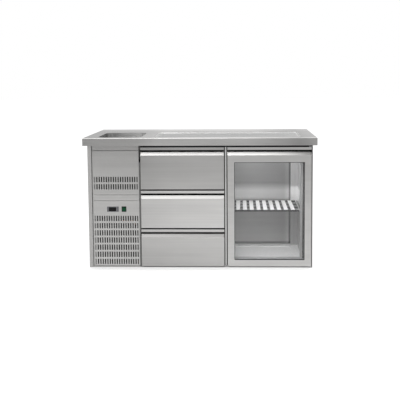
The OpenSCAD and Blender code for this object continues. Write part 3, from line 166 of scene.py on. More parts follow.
grainScales = {  # how fine the streaks are along x, y and z, per metre, for steel brushed along each axis
    "x": (1.6, 260.0, 260.0),
    "y": (260.0, 1.6, 260.0),
    "z": (260.0, 260.0, 1.6),
}
broadScales = {"x": (0.96, 31.2, 31.2), "y": (31.2, 0.96, 31.2), "z": (31.2, 31.2, 0.96)}
cloudScales = {"x": (2.2, 6.0, 6.0), "y": (6.0, 2.2, 6.0), "z": (6.0, 6.0, 2.2)}
steelLook = {
    "swing": 4.0,           # how far each noise moves the tone
    "roughLines": 0.12,     # how far the streaks change the roughness
    "roughClouds": 0.10,
    "bump": 0.06,
    "bumpHeight": 0.0004,   # metres
}
fadeTop = 1.5               # the lightest tone of a fade; a ramp's colours end at 1, so it keeps them as parts of this


def toned(g, place, tone, fades):
    # Each fade is (axis, [(metres, tone), ...]) of painted light and shade, and all of them multiply the colour
    for axis, stops in fades:
        along = g.node("SeparateXYZ", None, {0: place}, out=axis)
        first, last = stops[0][0], stops[-1][0]
        levels = [((metres - first) / (last - first), level / fadeTop) for metres, level in stops]
        shade = g.node("ValToRGB", {"stops": levels}, {0: g.ramp(along, first, last)})
        for factor in (shade, (fadeTop, fadeTop, fadeTop, 1.0)):
            tone = g.node("Mix", {"data_type": "RGBA", "blend_type": "MULTIPLY"}, {0: 1.0, 6: tone, 7: factor}, out=2)
    return tone


def brushedSteel(name, grain, colour, rough, streak=0.10, cloud=0.10, fades=(), metallic=1.0):
    # Narrow and broad streaks are noise drawn out along the grain, and clouds are wider noise
    look = steelLook
    g = Graph(bpy.data.materials.new(name))
    place = g.node("TexCoord", None, None, out="Object")
    lines = g.noise(place, grainScales[grain], detail=3.0, roughness=0.6)
    broad = g.noise(place, broadScales[grain])
    clouds = g.noise(place, cloudScales[grain])
    streaks = (lines - 0.5) * streak * look["swing"] + (broad - 0.5) * streak * look["swing"]
    level = 0.5 + streaks + (clouds - 0.5) * cloud * look["swing"]
    darker = rgba(colour, 1.0 - streak - cloud)
    lighter = rgba(colour, 1.0 + streak + cloud)
    tone = g.mixColour(g.ramp(level, 0.0, 1.0), darker, lighter)
    bump = {"Strength": look["bump"], "Distance": look["bumpHeight"], "Height": lines}
    surface = g.node("BsdfPrincipled", None, {
        "Base Color": toned(g, place, tone, fades),
        "Metallic": metallic,
        "Roughness": rough + (lines - 0.5) * look["roughLines"] + (clouds - 0.5) * look["roughClouds"],
        "Normal": g.node("Bump", None, bump),
    })
    return g.finish(surface)


plainLook = {
    "grain": 0.0015,        # metres
    "bumpHeight": 0.0003,
    "slow": 9.0,            # how fine the slow change of tone is, per metre
    "roughSlow": 0.15,      # how far it changes the roughness
}


def plainMaterial(name, colour, rough, metallic=0.0, bump=0.15, mottle=0.12, coat=0.0, shine=0.5):
    # Moulded or painted stuff: a fine grain in the bump and a slow change of tone
    look = plainLook
    g = Graph(bpy.data.materials.new(name))
    place = g.node("TexCoord", None, None, out="Object")
    grain = g.noise(place, (1.0 / look["grain"],) * 3)
    slow = g.noise(place, (look["slow"],) * 3, detail=3.0)
    surface = g.node("BsdfPrincipled", None, {
        "Base Color": g.mixColour(slow, rgba(colour, 1.0 - mottle), rgba(colour, 1.0 + mottle)),
        "Metallic": metallic,
        "Roughness": rough + (slow - 0.5) * look["roughSlow"],
        "Specular IOR Level": shine,
        "Coat Weight": coat,
        "Normal": g.node("Bump", None, {"Strength": bump, "Distance": look["bumpHeight"], "Height": grain}),
    })
    return g.finish(surface)


paneLook = {
    "tint": (0.985, 0.985, 0.985, 1.0),
    "rough": 0.01,
    "haze": 3.0,            # how fine its unevenness is, per metre
    "mirror": 0.012,        # part of the light that it mirrors when looked at squarely
    "mirrorHaze": 0.02,
    "mirrorEdge": 0.5,      # what it mirrors more at grazing angles
    "edgePower": 4.0,
}


def clearGlass(name, look):
    # A thin pane: it lets light straight through and mirrors more towards grazing angles
    g = Graph(bpy.data.materials.new(name))
    place = g.node("TexCoord", None, None, out="Object")
    haze = g.noise(place, (look["haze"],) * 3, detail=3.0)
    edgeOn = g.node("LayerWeight", None, {"Blend": 0.5}, out="Facing")
    mirror = (edgeOn ** look["edgePower"]) * look["mirrorEdge"] + haze * look["mirrorHaze"] + look["mirror"]
    through = g.node("BsdfTransparent", None, {"Color": look["tint"]})
    gloss = g.node("BsdfGlossy", None, {"Color": (1.0, 1.0, 1.0, 1.0), "Roughness": look["rough"]})
    return g.finish(g.node("MixShader", None, {0: mirror, 1: through, 2: gloss}))


foamLook = {
    "darker": (0.62, 0.52, 0.30, 1.0),
    "lighter": (0.78, 0.70, 0.46, 1.0),
    "cells": 420.0,         # per metre
    "slow": 5.0,
    "rough": 0.85,
    "bump": 0.4,
    "bumpHeight": 0.0005,
}


def foamMaterial(name, look):
    # Yellowed foam with fine cells
    g = Graph(bpy.data.materials.new(name))
    place = g.node("TexCoord", None, None, out="Object")
    cells = g.node("TexVoronoi", None, {"Vector": place, "Scale": look["cells"]})
    slow = g.noise(place, (look["slow"],) * 3, detail=3.0)
    bump = {"Strength": look["bump"], "Distance": look["bumpHeight"], "Height": cells}
    surface = g.node("BsdfPrincipled", None, {
        "Base Color": g.mixColour(slow, look["darker"], look["lighter"]),
        "Roughness": look["rough"],
        "Normal": g.node("Bump", None, bump),
    })
    return g.finish(surface)


steelTone = (0.62, 0.614, 0.604)
worktopPaintedLight = [  # painted light and shade, as fades (axis, [(metres, tone), ...]): darker towards the ends and a painted reflection along the rear strip
    (0, [(-0.75, 0.84), (-0.40, 0.97), (-0.28, 1.18), (0.30, 1.22), (0.54, 0.97), (0.64, 0.81), (0.70, 0.90),
         (0.75, 0.97)]),
    (1, [(-0.351, 0.93), (-0.345, 0.90), (-0.27, 0.93), (0.0, 0.96), (0.18, 0.98), (0.24, 1.20), (0.35, 1.20)]),
]
panelPaintedShade = [  # painted shade and reflection: darker towards the top, with a dark line at 0.7635 to 0.7695, near the top of the panels
    (2, [(0.0, 1.24), (0.12, 1.10), (0.40, 1.06), (0.58, 1.0), (0.70, 0.93), (0.7625, 0.89), (0.7635, 0.62),
         (0.7695, 0.62), (0.7705, 0.86)]),
]
# painted shade in the sink bowl: dark at its left end, lighter towards its right
bowlPaintedShade = [(0, [(-0.67, 0.60), (-0.62, 0.70), (-0.56, 1.0), (-0.44, 1.15), (-0.38, 1.40)])]
coverPaintedShade = [  # painted shade and light: darker below the shelf than above it, a painted bright band just above the shelf, and painted shade along the floor and the back right corner
    (2, [(0.041, 0.50), (0.056, 0.50), (0.064, 0.88), (0.20, 0.77), (0.34, 0.64), (0.352, 0.64), (0.368, 1.50),
         (0.43, 1.42), (0.48, 0.68), (0.60, 0.72), (0.74, 0.80)]),
    (0, [(0.18, 1.20), (0.45, 0.97), (0.57, 0.88), (0.603, 1.15), (0.606, 0.50), (0.666, 0.50)]),
]
# painted shade and light on the cold space's side wall and the shelf's uprights: darker below the shelf, a painted
# bright band just above it
wallPaintedShade = [
    (2, [(0.03, 0.66), (0.34, 0.50), (0.352, 0.50), (0.368, 1.5), (0.445, 1.5), (0.47, 0.80), (0.74, 0.80)]),
]
finishes = {  # by the record's material slots
    "worktop_steel": brushedSteel("worktopSteel", "x", steelTone, 0.30, fades=worktopPaintedLight),
    "front_steel": brushedSteel("frontSteel", "x", steelTone, 0.33),
    "body_steel": brushedSteel("bodySteel", "z", steelTone, 0.36),
    # the front frame is nearly black: painted shade in the gaps round the fronts
    "frame_steel": brushedSteel("frameSteel", "z", (0.10, 0.10, 0.10), 0.45),
    "grille_steel": brushedSteel("grilleSteel", "x", steelTone, 0.34, fades=panelPaintedShade),
    "grate_steel": brushedSteel("grateSteel", "x", (0.66, 0.66, 0.655), 0.32),
    "bowl_steel": brushedSteel("bowlSteel", "x", (0.70, 0.70, 0.695), 0.30, streak=0.05, fades=bowlPaintedShade),
    "liner_steel": brushedSteel("linerSteel", "x", (0.70, 0.70, 0.70), 0.38, metallic=0.7),
    "box_steel": brushedSteel("boxSteel", "x", (0.56, 0.56, 0.56), 0.34),
    "shelf_steel": brushedSteel("shelfSteel", "y", (0.94, 0.94, 0.94), 0.36, streak=0.02, cloud=0.02, metallic=0.2),
    "runner_steel": plainMaterial("runnerSteel", (0.50, 0.50, 0.51), 0.32, metallic=1.0, bump=0.05),
    "waste_chrome": plainMaterial("wasteChrome", (0.72, 0.72, 0.73), 0.12, metallic=1.0, bump=0.02, mottle=0.04),
    "foam": foamMaterial("insulationFoam", foamLook),
    "control_grey": plainMaterial("controlGrey", (0.20, 0.20, 0.21), 0.45),
    "display_black": plainMaterial("displayBlack", (0.008, 0.008, 0.009), 0.3, bump=0.0, shine=0.18),
    "key_grey": plainMaterial("keyGrey", (0.13, 0.13, 0.14), 0.5),
    "switch_black": plainMaterial("switchBlack", (0.014, 0.014, 0.015), 0.42, shine=0.3),
    "rocker_green": plainMaterial("rockerGreen", (0.002, 0.060, 0.022), 0.25, coat=0.05, shine=0.2),
    # the coil fins are nearly black: painted shade seen through the vents
    "fins": plainMaterial("coilFins", (0.025, 0.025, 0.026), 0.5, bump=0.1),
    "machine_black": plainMaterial("machineBlack", (0.022, 0.022, 0.024), 0.38),
    "fan_plastic": plainMaterial("fanPlastic", (0.03, 0.03, 0.032), 0.4),
    "copper": plainMaterial("copperTube", (0.72, 0.36, 0.20), 0.3, metallic=1.0, bump=0.05),
    "glass": clearGlass("doorGlass", paneLook),
    "seal_black": plainMaterial("sealBlack", (0.02, 0.02, 0.021), 0.62),
}
trimPaintedLight = 1.38            # painted light: how much lighter the strips in the gaps are than the fronts
# painted shade: nearly black steel in the grip slots, on the fronts' top and bottom edges and on the grilles' slot
# edges
gripPaintedShade = brushedSteel("gripPaintedShade", "x", (0.025, 0.025, 0.025), 0.5)
# painted shade on the inner faces of the side and back panels
innerPaintedShade = brushedSteel("innerPaintedShade", "x", (0.06, 0.06, 0.06), 0.5)
trimPaintedLightSteel = brushedSteel("trimPaintedLightSteel", "z", tuple(c * trimPaintedLight for c in steelTone), 0.40)
# painted shade: the partition, the unit tray and the shelf below its top
darkPaintedShade = brushedSteel("darkPaintedShade", "z", (0.14, 0.14, 0.14), 0.45)
# painted shade on the machine post
machinePostPaintedShade = brushedSteel("machinePostPaintedShade", "z", (0.28, 0.28, 0.275), 0.40)
coverSteel = brushedSteel("coverSteel", "x", (0.50, 0.50, 0.50), 0.38, metallic=0.7, fades=coverPaintedShade)
wallSteel = brushedSteel("wallSteel", "z", (0.80, 0.80, 0.80), 0.36, streak=0.16, metallic=0.7, fades=wallPaintedShade)
# painted light: a lighter steel for the cold space's floor and the base pan's top
floorPaintedLight = brushedSteel("floorPaintedLight", "x", (0.92, 0.92, 0.92), 0.38, streak=0.05, cloud=0.04, metallic=0.2)
spacerSteel = brushedSteel("spacerSteel", "x", (0.72, 0.72, 0.72), 0.40, metallic=0.7)
# painted light on the shelf's front posts and in the door's opening
postPaintedLight = brushedSteel("postPaintedLight", "z", (0.58, 0.58, 0.58), 0.40, metallic=0.2)
ownFinish = {  # nodes that differ from the rest of their slot by painted light or shade
    "mullion_trim": trimPaintedLightSteel,
    "machine_post": machinePostPaintedShade,
    "evaporator_cover": coverSteel,
    "shelf_uprights": wallSteel,
    "partition_skin": darkPaintedShade,
    "unit_tray": darkPaintedShade,
}
slotOf = {s["node"]: s["material_slot"] for s in frame["record"]["subparts"]}
bodyOf = {n: b for b, nodes in frame["record"]["behaviour"]["bodies"].items() for n in nodes}
for nodeName, nodeObject in cadNodes.items():
    nodeObject.data.materials.clear()
    nodeObject.data.materials.append(ownFinish.get(nodeName) or finishes[slotOf[nodeName]])
print("finishes given to the CAD nodes")


def paintFaces(nodeName, material, isPicked):
    # Gives the faces whose centre passes the test another finish
    mesh = cadNodes[nodeName].data
    mesh.materials.append(material)
    centres = np.zeros(len(mesh.polygons) * 3)
    mesh.polygons.foreach_get("center", centres)
    index = np.zeros(len(mesh.polygons), dtype=np.int32)
    mesh.polygons.foreach_get("material_index", index)
    index[isPicked(centres.reshape(-1, 3))] = len(mesh.materials) - 1
    mesh.polygons.foreach_set("material_index", index)
    mesh.update()


def between(values, limits):
    return (values > limits[0]) & (values < limits[1])


gasketPaint = {  # metres, from the plate that carries the gasket
    "band": 0.024,          # width from the plate's edges
    "plate": 0.0012,        # the plate's thickness
    "depth": 0.0092,
    "slack": 0.0001,
}


def isGasket(nodeName, cfg):
    low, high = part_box(nodeName)
    back = low.y + cfg["plate"] + cfg["slack"]

    def test(c):
        across = np.minimum(c[:, 0] - low.x, high.x - c[:, 0])
        upright = np.minimum(c[:, 2] - low.z, high.z - c[:, 2])
        return (np.minimum(across, upright) < cfg["band"]) & between(c[:, 1], (back, back + cfg["depth"]))

    return test


coldPaint = {  # metres: where painted light and shade go in the cold space, on the base pan's top and in the door's opening, and where the spacer between the panes is
    "linerWall": 0.002,                 # faces this near to the liner's right side
    "linerFloor": 0.012,                # and to its underside
    "frontPosts": -0.19,                # the shelf's uprights in front of this depth
    "baseTop": (0.0015, 0.0025),        # heights of the base pan's upper face
    "openingX": (0.17, 0.69),           # the door's opening in the front frame
    "openingY": (-0.2655, -0.2265),
    "openingZ": (0.03, 0.76),
    "spacer": (0.002, 0.001),           # from the panes' front and past their back
}


def paintColdSpace(cfg):
    linerLow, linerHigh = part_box("liner_panels")
    paneLow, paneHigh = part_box("door_glass")
    spacer = (paneLow.y + cfg["spacer"][0], paneHigh.y + cfg["spacer"][1])
    paintFaces("liner_panels", wallSteel, lambda c: c[:, 0] > linerHigh.x - cfg["linerWall"])
    paintFaces("liner_panels", floorPaintedLight, lambda c: c[:, 2] < linerLow.z + cfg["linerFloor"])
    paintFaces("shelf_uprights", postPaintedLight, lambda c: c[:, 1] < cfg["frontPosts"])
    paintFaces("base_pan", floorPaintedLight, lambda c: between(c[:, 2], cfg["baseTop"]))
    paintFaces("front_frame", postPaintedLight, lambda c: between(c[:, 0], cfg["openingX"])
               & between(c[:, 1], cfg["openingY"]) & between(c[:, 2], cfg["openingZ"]))
    paintFaces("door_gasket", spacerSteel, lambda c: between(c[:, 1], spacer))


for boxName in ("drawer_box_1", "drawer_box_2", "drawer_box_3"):
    paintFaces(boxName, finishes["seal_black"], isGasket(boxName, gasketPaint))
paintColdSpace(coldPaint)
print("gaskets and cold space painted")

sheetEdges = {
    "weld": 0.00001,        # points nearer than this are one, metres
    "flat": 0.4,            # faces that meet at a smaller angle become one, degrees
    "sharp": 28.0,          # edges are rounded from this angle on, degrees
    "bevel": 0.0004,        # metres
    "segments": 2,
}


def dressed(name, nodes, bevel=sheetEdges["bevel"], paints=(), material=None, melt=True):
    # Joins copies of CAD nodes, welds them and rounds their edges; paints are pairs of a finish and a test on a face
    sharp = math.radians(sheetEdges["sharp"])
    bm = bmesh.new()
    for node in nodes:
        bm.from_mesh(cadNodes[node].data)
    bmesh.ops.remove_doubles(bm, verts=bm.verts, dist=sheetEdges["weld"])
    if melt:
        bmesh.ops.dissolve_limit(bm, angle_limit=math.radians(sheetEdges["flat"]), verts=bm.verts, edges=bm.edges)
    for face in bm.faces:
        face.smooth = True
        face.material_index = 0
    for edge in bm.edges:
        edge.smooth = len(edge.link_faces) == 2 and edge.calc_face_angle() < sharp
    for number, (finish, isPicked) in enumerate(paints):
        for face in bm.faces:
            if isPicked(face.calc_center_median(), face.normal):
                face.material_index = number + 1
    mesh = bpy.data.meshes.new(name)
    bm.to_mesh(mesh)
    bm.free()
    mesh.materials.append(material or finishes[slotOf[nodes[0]]])
    for finish, _ in paints:
        mesh.materials.append(finish)
    piece = bpy.data.objects.new(name, mesh)
    bpy.context.scene.collection.objects.link(piece)
    if bevel:
        rounding = piece.modifiers.new("rounding", "BEVEL")
        rounding.width = bevel
        rounding.segments = sheetEdges["segments"]
        rounding.limit_method = "ANGLE"
        rounding.angle_limit = sharp
        rounding.harden_normals = True
    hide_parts(*nodes)
    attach(piece, bodyOf[nodes[0]])


gripSize = {  # metres, down from a front's top edge and back from its face
    "band": 0.017,          # where the grip slot starts
    "depth": 0.052,         # and where it ends
    "lip": 0.008,           # the sloping lip is in front of this, the slot behind it
    "rim": 0.003,           # the top and bottom edges
    "slack": 0.0005,
    "level": 0.7,           # a level face's normal has at least this height
    "slope": 0.3,           # and the sloping lip's at least this
}


# the faces that get painted shade: inside the grip slot, and the level faces of a front's top and bottom edges
def isGripShade(node, cfg):
    low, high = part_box(node)

    def test(c, normal):
        below = high.z - c.z
        inSlot = cfg["band"] - cfg["slack"] < below < cfg["depth"] and c.y > low.y + cfg["lip"]
        onRim = below < cfg["rim"] or c.z - low.z < cfg["rim"]
        return inSlot or (abs(normal.z) > cfg["level"] and onRim)

    return test


def isLip(node, cfg):
    low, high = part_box(node)

    def test(c, normal):
        inBand = cfg["band"] < high.z - c.z < cfg["depth"]
        return inBand and c.y < low.y + cfg["lip"] and normal.z > cfg["slope"]

    return test


frontPaintedLight = {  # painted light and reflection: tones up each front and along it from left to right, as (part of its size, tone), and its lip's tone, with a painted highlight fading along the door's lip
    "drawer_front_1": {
        "up": [(0.0, 1.0), (0.4, 0.94), (1.0, 0.86)],
        "along": [(0.0, 0.90), (0.35, 1.03), (1.0, 1.08)],
        "lip": 0.80,
    },
    "drawer_front_2": {
        "up": [(0.0, 1.30), (1.0, 1.36)],
        "along": [(0.0, 0.86), (0.4, 0.99), (1.0, 1.06)],
        "lip": 0.62,
    },
    "drawer_front_3": {
        "up": [(0.0, 1.06), (1.0, 1.21)],
        "along": [(0.0, 0.93), (0.4, 1.0), (1.0, 1.06)],
        "lip": 0.40,
    },
    "door_frame": {
        "up": [(0.0, 1.36), (0.1, 1.28), (0.5, 1.20), (0.85, 1.12), (1.0, 1.14)],
        "along": [(0.0, 1.0), (1.0, 0.98)],
        "lip": 0.95,
        "lipPaintedHighlight": [(0, [(0.18, 1.1), (0.45, 1.05), (0.56, 0.85), (0.71, 0.42)])],
    },
}
frontRough = {"face": 0.33, "lip": 0.42}


def makeFront(node, look):
    low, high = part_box(node)
    # each front's face and lip are lit and shaded copies of one steel, by painted tones
    up = [(low.z + f * (high.z - low.z), tone) for f, tone in look["up"]]
    along = [(low.x + f * (high.x - low.x), tone) for f, tone in look["along"]]
    steel = brushedSteel(node + "Steel", "x", steelTone, frontRough["face"], fades=[(2, up), (0, along)])
    lipPaintedTone = tuple(c * look["lip"] for c in steelTone)
    lip = brushedSteel(node + "Lip", "x", lipPaintedTone, frontRough["lip"], fades=look.get("lipPaintedHighlight", ()))
    paints = [(gripPaintedShade, isGripShade(node, gripSize)), (lip, isLip(node, gripSize))]
    dressed(node.replace("_", ""), [node], paints=paints, material=steel)


slotEdge = {  # metres
    "plane": 0.0018,        # the slots' edges are less than this behind the panel's face
    "border": 0.006,        # and more than this in from its rim
    "turned": 0.5,          # their normals lean less towards the front than this
}


# the edges of a grille's slots, which get painted shade
def isSlotShade(node, cfg):
    low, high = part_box(node)

    def test(c, normal):
        inside = min(c.x - low.x, high.x - c.x, c.z - low.z, high.z - c.z) > cfg["border"]
        return inside and abs(normal.y) < cfg["turned"] and c.y < low.y + cfg["plane"]

    return test


# painted shade on the panels' inner faces and on the shelf below its top
sheetShade = {
    "inward": 0.5,          # an inner face's normal points inwards at least this much
    "shelfTop": 0.001,      # below this depth from its top the shelf gets painted shade, metres
}
for frontNode, frontValues in frontPaintedLight.items():
    makeFront(frontNode, frontValues)
dressed("worktopSheet", ["worktop"], bevel=0.00022)
dressed("leftSide", ["left_side_panel"], paints=[(innerPaintedShade, lambda c, normal: normal.x > sheetShade["inward"])])
dressed("rightSide", ["right_side_panel"])
dressed("backSheet", ["back_panel"], bevel=0.0003,
        paints=[(innerPaintedShade, lambda c, normal: normal.y < -sheetShade["inward"])])
dressed("fasciaSheet", ["top_fascia"])
for panelName, panelNode in (("upperGrille", "upper_grille"), ("lowerGrille", "lower_grille")):
    dressed(panelName, [panelNode], bevel=0.0002, paints=[(gripPaintedShade, isSlotShade(panelNode, slotEdge))])
dressed("railSheet", ["panel_rail"])
dressed("sinkBowl", ["sink_bowl"], bevel=0.0)
dressed("dripPan", ["drip_pan"])
dressed("dripGrate", ["drip_grate"], bevel=0.0, melt=False)
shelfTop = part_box("shelf")[1].z
dressed("shelfRack", ["shelf"], paints=[(darkPaintedShade, lambda c, normal: c.z < shelfTop - sheetShade["shelfTop"])])
dressed("compressorShell", ["compressor"], bevel=0.0)
dressed("strainer", ["sink_waste"], bevel=0.0003)
print("sheet metal dressed")

gridEdges = {
    "weld": 0.000001,       # points nearer than this are one, metres
    "sharp": 35.0,          # edges stay hard from this angle on, degrees
}


def gridPiece(name, grids, material, body, closed=True, wall=0.0):
    # Each grid is rows of points that are joined into quads; closed joins the last point of a row to the first
    points, faces, base = [], [], 0
    for grid in grids:
        rows, columns = grid.shape[:2]
        index = base + np.arange(rows * columns).reshape(rows, columns)
        here = index if closed else index[:, :-1]
        right = np.roll(index, -1, axis=1) if closed else index[:, 1:]
        faces.append(np.stack([here[:-1], right[:-1], right[1:], here[1:]], axis=-1).reshape(-1, 4))
        points.append(grid.reshape(-1, 3))
        base += rows * columns
    mesh = bpy.data.meshes.new(name)
    mesh.from_pydata(np.concatenate(points).tolist(), [], np.concatenate(faces).tolist())
    bm = bmesh.new()
    bm.from_mesh(mesh)
    bmesh.ops.remove_doubles(bm, verts=bm.verts, dist=gridEdges["weld"])
    bmesh.ops.dissolve_degenerate(bm, dist=gridEdges["weld"], edges=bm.edges)
    bmesh.ops.recalc_face_normals(bm, faces=bm.faces)
    bm.to_mesh(mesh)
    bm.free()
    mesh.shade_smooth()
    mesh.set_sharp_from_angle(angle=math.radians(gridEdges["sharp"]))
    mesh.materials.append(material)
    piece = bpy.data.objects.new(name, mesh)
    bpy.context.scene.collection.objects.link(piece)
    if wall:
        thickness = piece.modifiers.new("wall", "SOLIDIFY")
        thickness.thickness = wall
    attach(piece, body)


def lathe(profile, place, direction, sides):
    # Turns (radius, height) points round a line through place: a point is place + height * line + radius * (cos, sin)
    line = Vector(direction).normalized()
    first = line.orthogonal().normalized()
    second = line.cross(first)
    turn = np.linspace(0.0, 2.0 * math.pi, sides, endpoint=False)
    ring = np.cos(turn)[:, None] * np.array(first) + np.sin(turn)[:, None] * np.array(second)
    return np.array([np.array(place) + height * np.array(line) + radius * ring for radius, height in profile])


def tube(path, radius, sides, steps, ring=False):
    # A curve through the points of the path, each stretch a cubic that leaves and meets them along the line between
    # their neighbours, and circles of the radius round it; its ends are closed, or with ring it meets its own start
    path = np.array(path, dtype=float)
    if ring:
        ends = np.concatenate([path[-1:], path, path[:2]])
    else:
        ends = np.concatenate([[2 * path[0] - path[1]], path, [2 * path[-1] - path[-2]]])
    t = np.linspace(0.0, 1.0, steps, endpoint=False)[:, None]
    stretches = []
    for a, b, c, d in zip(ends[:-3], ends[1:-2], ends[2:-1], ends[3:]):
        cubic = 2 * b + (c - a) * t + (2 * a - 5 * b + 4 * c - d) * t ** 2 + (3 * b - a - 3 * c + d) * t ** 3
        stretches.append(0.5 * cubic)
    line = np.concatenate(stretches) if ring else np.concatenate(stretches + [path[-1:]])
    along = np.roll(line, -1, axis=0) - np.roll(line, 1, axis=0) if ring else np.gradient(line, axis=0)
    along /= np.linalg.norm(along, axis=1)[:, None]
    side = np.array(Vector(along[0]).orthogonal().normalized())
    turn = np.linspace(0.0, 2.0 * math.pi, sides, endpoint=False)[:, None]
    rings = []
    for point, ahead in zip(line, along):
        side = side - ahead * side.dot(ahead)
        side /= np.linalg.norm(side)
        rings.append(point + radius * (np.cos(turn) * side + np.sin(turn) * np.cross(ahead, side)))
    if ring:
        return np.array(rings + rings[:1])
    return np.array([np.repeat(line[:1], sides, axis=0)] + rings + [np.repeat(line[-1:], sides, axis=0)])


backScrews = {  # screws along the edges of the back panel, metres
    "profile": [(0.0, 0.0010), (0.0016, 0.0010), (0.0018, 0.0019), (0.0024, 0.0022), (0.0031, 0.0019),
                (0.0037, 0.0012), (0.0040, 0.0), (0.0, 0.0)],  # radius and height of a pan head with a round drive
    "sides": 20,
    "gap": 0.0001,          # clear of the sheet
    "inset": 0.012,         # of the upright rows, from the panel's sides
    "uprightRow": (0.03, 0.22, 0.41, 0.60, 0.785),
    "levelRow": (-0.40, 0.0, 0.35),
    "levelHeights": (0.014, 0.788),
}


def makeBackScrews(cfg):
    low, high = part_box("back_panel")
    y = high.y + cfg["gap"]
    places = [(x, y, z) for x in (low.x + cfg["inset"], high.x - cfg["inset"]) for z in cfg["uprightRow"]]
    places += [(x, y, z) for x in cfg["levelRow"] for z in cfg["levelHeights"]]
    heads = [lathe(cfg["profile"], place, (0, 1, 0), cfg["sides"]) for place in places]
    gridPiece("backScrews", heads, finishes["waste_chrome"], "cabinet")


rearFilter = {  # a pleated filter in a wire frame, inside the vents of the back, metres
    "middle": -0.5519,
    "half": 0.122,          # half its width
    "heights": (0.168, 0.376),
    "face": 0.3280,
    "depth": 0.006,         # of the pleats
    "pitch": 0.010,         # about, because the pleats are a whole number
    "rows": 5,
    "wall": 0.0008,
    "wire": 0.0016,         # the frame wire's radius
    "wireSides": 8,
    "corner": 0.006,        # radius of the frame's corners
    "cornerPoints": 6,
}


def makeRearFilter(cfg):
    # The sheet is y = face - wire - depth * (1 - |2 * fraction(pleats * along) - 1|), along from 0 to 1 across it
    pleats = int(round(2 * cfg["half"] / cfg["pitch"]))
    count = 2 * pleats + 1
    along = np.linspace(0.0, 1.0, count)
    fold = np.where(np.arange(count) % 2 == 0, 0.0, 1.0)
    plane = cfg["face"] - cfg["wire"]
    x = cfg["middle"] + cfg["half"] * (2 * along - 1)
    y = plane - cfg["depth"] * fold
    bottom, top = cfg["heights"]
    sheet = np.array([np.stack([x, y, np.full(count, z)], axis=1) for z in np.linspace(bottom, top, cfg["rows"])])
    gridPiece("rearFilter", [sheet], finishes["fan_plastic"], "cabinet", closed=False, wall=cfg["wall"])
    corner = cfg["corner"]
    left, right, lower, upper = x[0] + corner, x[-1] - corner, bottom + corner, top - corner
    outline = []
    for cx, cz, start in ((right, upper, 0), (left, upper, 90), (left, lower, 180), (right, lower, 270)):
        for angle in np.radians(np.linspace(start, start + 90, cfg["cornerPoints"])):
            outline.append((cx + corner * math.cos(angle), plane, cz + corner * math.sin(angle)))
    frameWire = tube(outline, cfg["wire"], cfg["wireSides"], 1, ring=True)
    gridPiece("rearFilterRim", [frameWire], finishes["runner_steel"], "cabinet")


coilBends = {  # return bends that join the tubes of a coil: its side, their first and last height, pitch and two depths
    "condenser": {"side": -1, "rows": (0.030, 0.250), "pitch": 0.0275, "depths": (-0.274, -0.248)},
    "evaporator": {"side": 1, "rows": (0.540, 0.660), "pitch": 0.030, "depths": (0.235, 0.268)},
}
bendShape = {
    "radius": 0.0042,       # metres
    "gap": 0.0003,          # clear of the coil
    "reach": 0.9,           # how far a bend stands out, against half the pitch
    "points": 9,
    "steps": 2,
    "sides": 10,
}


def makeBends(node, cfg, shape):
    # A bend's middle line is half an ellipse: out = reach * half * cos, up = half * sin, from -90 to 90 degrees
    low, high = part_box(node)
    wall = low.x - shape["gap"] if cfg["side"] < 0 else high.x + shape["gap"]
    first, last = cfg["rows"]
    count = int(round((last - first) / cfg["pitch"]))
    half = cfg["pitch"] / 2
    turn = np.linspace(-math.pi / 2, math.pi / 2, shape["points"])
    x = wall + cfg["side"] * half * shape["reach"] * np.cos(turn)
    bends = []
    for column, depth in enumerate(cfg["depths"]):
        for row in range(column % 2, count, 2):
            z = first + (row + 0.5) * cfg["pitch"] + half * np.sin(turn)
            path = np.stack([x, np.full(len(turn), depth), z], axis=1)
            bends.append(tube(path, shape["radius"], shape["sides"], shape["steps"]))
    gridPiece(node + "Bends", bends, finishes["copper"], "cabinet")


makeBackScrews(backScrews)
makeRearFilter(rearFilter)
for coilNode, coilValues in coilBends.items():
    makeBends(coilNode, coilValues, bendShape)
print("back and machine section fitted out")

roomSetup = {
    "floorSize": 60.0,
    "floorDrop": 0.0005,          # below the counter's base, metres
    "floorColour": (0.50, 0.50, 0.50),
    "floorRough": 0.5,
    "floorLift": 0.64,            # added to the floor as the camera sees it
    "contactWidth": 0.16,         # how far from the base the painted shadow on the floor reaches, metres
    "contactEdge": (-0.30, -0.35),  # the painted shadow falls only in front of these depths, metres
    "contactOpen": (0.38, 1.0),   # how open the floor is where it is darkest and where it is full
    "contactSamples": 8,
    "frontTone": 0.48,            # what the steel sees in front of the counter
    "backTone": 0.62,
    "topTone": 1.0,
    "lowTone": 0.56,
    "acrossBand": (-0.8, 0.8),    # directions over which the front turns into the back
    "topBand": (0.25, 0.85),      # over which the sides turn into the top
    "lowBand": (0.0, -0.3),       # and into what is below
}


def makeWorld(cfg):
    world = bpy.data.worlds.new("studio")
    bpy.context.scene.world = world
    g = Graph(world)
    direction = g.node("TexCoord", None, None, out="Generated")
    across = g.node("SeparateXYZ", None, {0: direction}, out=1)
    height = g.node("SeparateXYZ", None, {0: direction}, out=2)
    side = cfg["frontTone"] + g.ramp(across, *cfg["acrossBand"]) * (cfg["backTone"] - cfg["frontTone"])
    above = g.ramp(height, *cfg["topBand"])
    tone = side * (1.0 - above) + above * cfg["topTone"]
    below = g.ramp(height, *cfg["lowBand"])
    tone = tone * (1.0 - below) + below * cfg["lowTone"]
    seen = g.node("LightPath", None, None, out="Is Camera Ray")
    tone = tone * (1.0 - seen) + seen
    colour = g.node("CombineColor", None, {0: tone, 1: tone, 2: tone})
    g.finish(g.node("Background", None, {"Color": colour, "Strength": 1.0}))


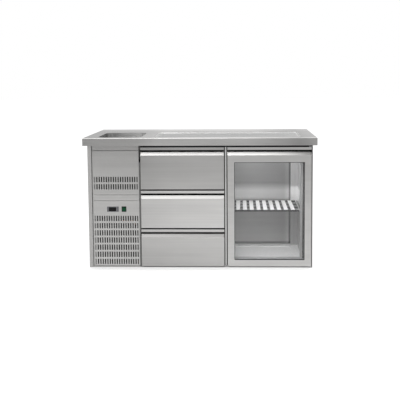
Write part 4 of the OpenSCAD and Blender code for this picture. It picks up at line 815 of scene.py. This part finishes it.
def makeFloor(cfg):
    half = cfg["floorSize"] / 2
    mesh = bpy.data.meshes.new("floor")
    mesh.from_pydata([(-half, -half, 0), (half, -half, 0), (half, half, 0), (-half, half, 0)], [], [(0, 1, 2, 3)])
    floor = bpy.data.objects.new("floor", mesh)
    floor.location.z = -cfg["floorDrop"]
    bpy.context.scene.collection.objects.link(floor)
    g = Graph(bpy.data.materials.new("paleFloor"))
    seen = g.node("LightPath", None, None, out="Is Camera Ray")
    contactInputs = {"Distance": cfg["contactWidth"]}
    openness = g.node("AmbientOcclusion", {"samples": cfg["contactSamples"]}, contactInputs, out=1)
    depth = g.node("SeparateXYZ", None, {0: g.node("TexCoord", None, None, out="Object")}, out=1)
    # a painted shadow on the floor in front of the base, from ambient occlusion
    paintedShadow = g.ramp(depth, *cfg["contactEdge"]) * (1.0 - g.ramp(openness, *cfg["contactOpen"]))
    lift = seen * (1.0 - paintedShadow) * cfg["floorLift"]
    surface = g.node("BsdfPrincipled", None, {
        "Base Color": rgba(cfg["floorColour"]),
        "Roughness": cfg["floorRough"],
        "Emission Color": g.node("CombineColor", None, {0: lift, 1: lift, 2: lift}),
        "Emission Strength": 1.0,
    })
    mesh.materials.append(g.finish(surface))


lampSetup = {  # metres and watts; the last two light the cold space above and below its shelf
    "key": {"place": (-1.6, -3.4, 3.6), "aim": (0.0, 0.0, 0.5), "size": (4.0, 3.0), "power": 74.0},
    "top": {"place": (0.3, -1.4, 3.4), "aim": (0.0, 0.0, 0.6), "size": (5.0, 2.4), "power": 48.0},
    "rim": {"place": (2.2, 2.4, 2.6), "aim": (0.0, 0.0, 0.5), "size": (3.0, 2.4), "power": 14.0},
    "inside": {"place": (0.43, -0.18, 0.738), "aim": (0.42, 0.0, 0.2), "size": (0.40, 0.03), "power": 1.35},
    "below": {"place": (0.43, -0.08, 0.342), "aim": (0.43, -0.02, 0.05), "size": (0.40, 0.10), "power": 0.28},
}


def makeLamp(name, cfg):
    data = bpy.data.lights.new(name, "AREA")
    data.shape = "RECTANGLE"
    data.size, data.size_y = cfg["size"]
    data.energy = cfg["power"]
    lamp = bpy.data.objects.new(name, data)
    lamp.location = cfg["place"]
    lamp.rotation_euler = (Vector(cfg["aim"]) - Vector(cfg["place"])).to_track_quat("-Z", "Y").to_euler()
    bpy.context.scene.collection.objects.link(lamp)


makeWorld(roomSetup)
makeFloor(roomSetup)
for lampName, lampValues in lampSetup.items():
    makeLamp(lampName, lampValues)
bpy.context.scene.view_settings.view_transform = "Standard"
print("room and lamps made")
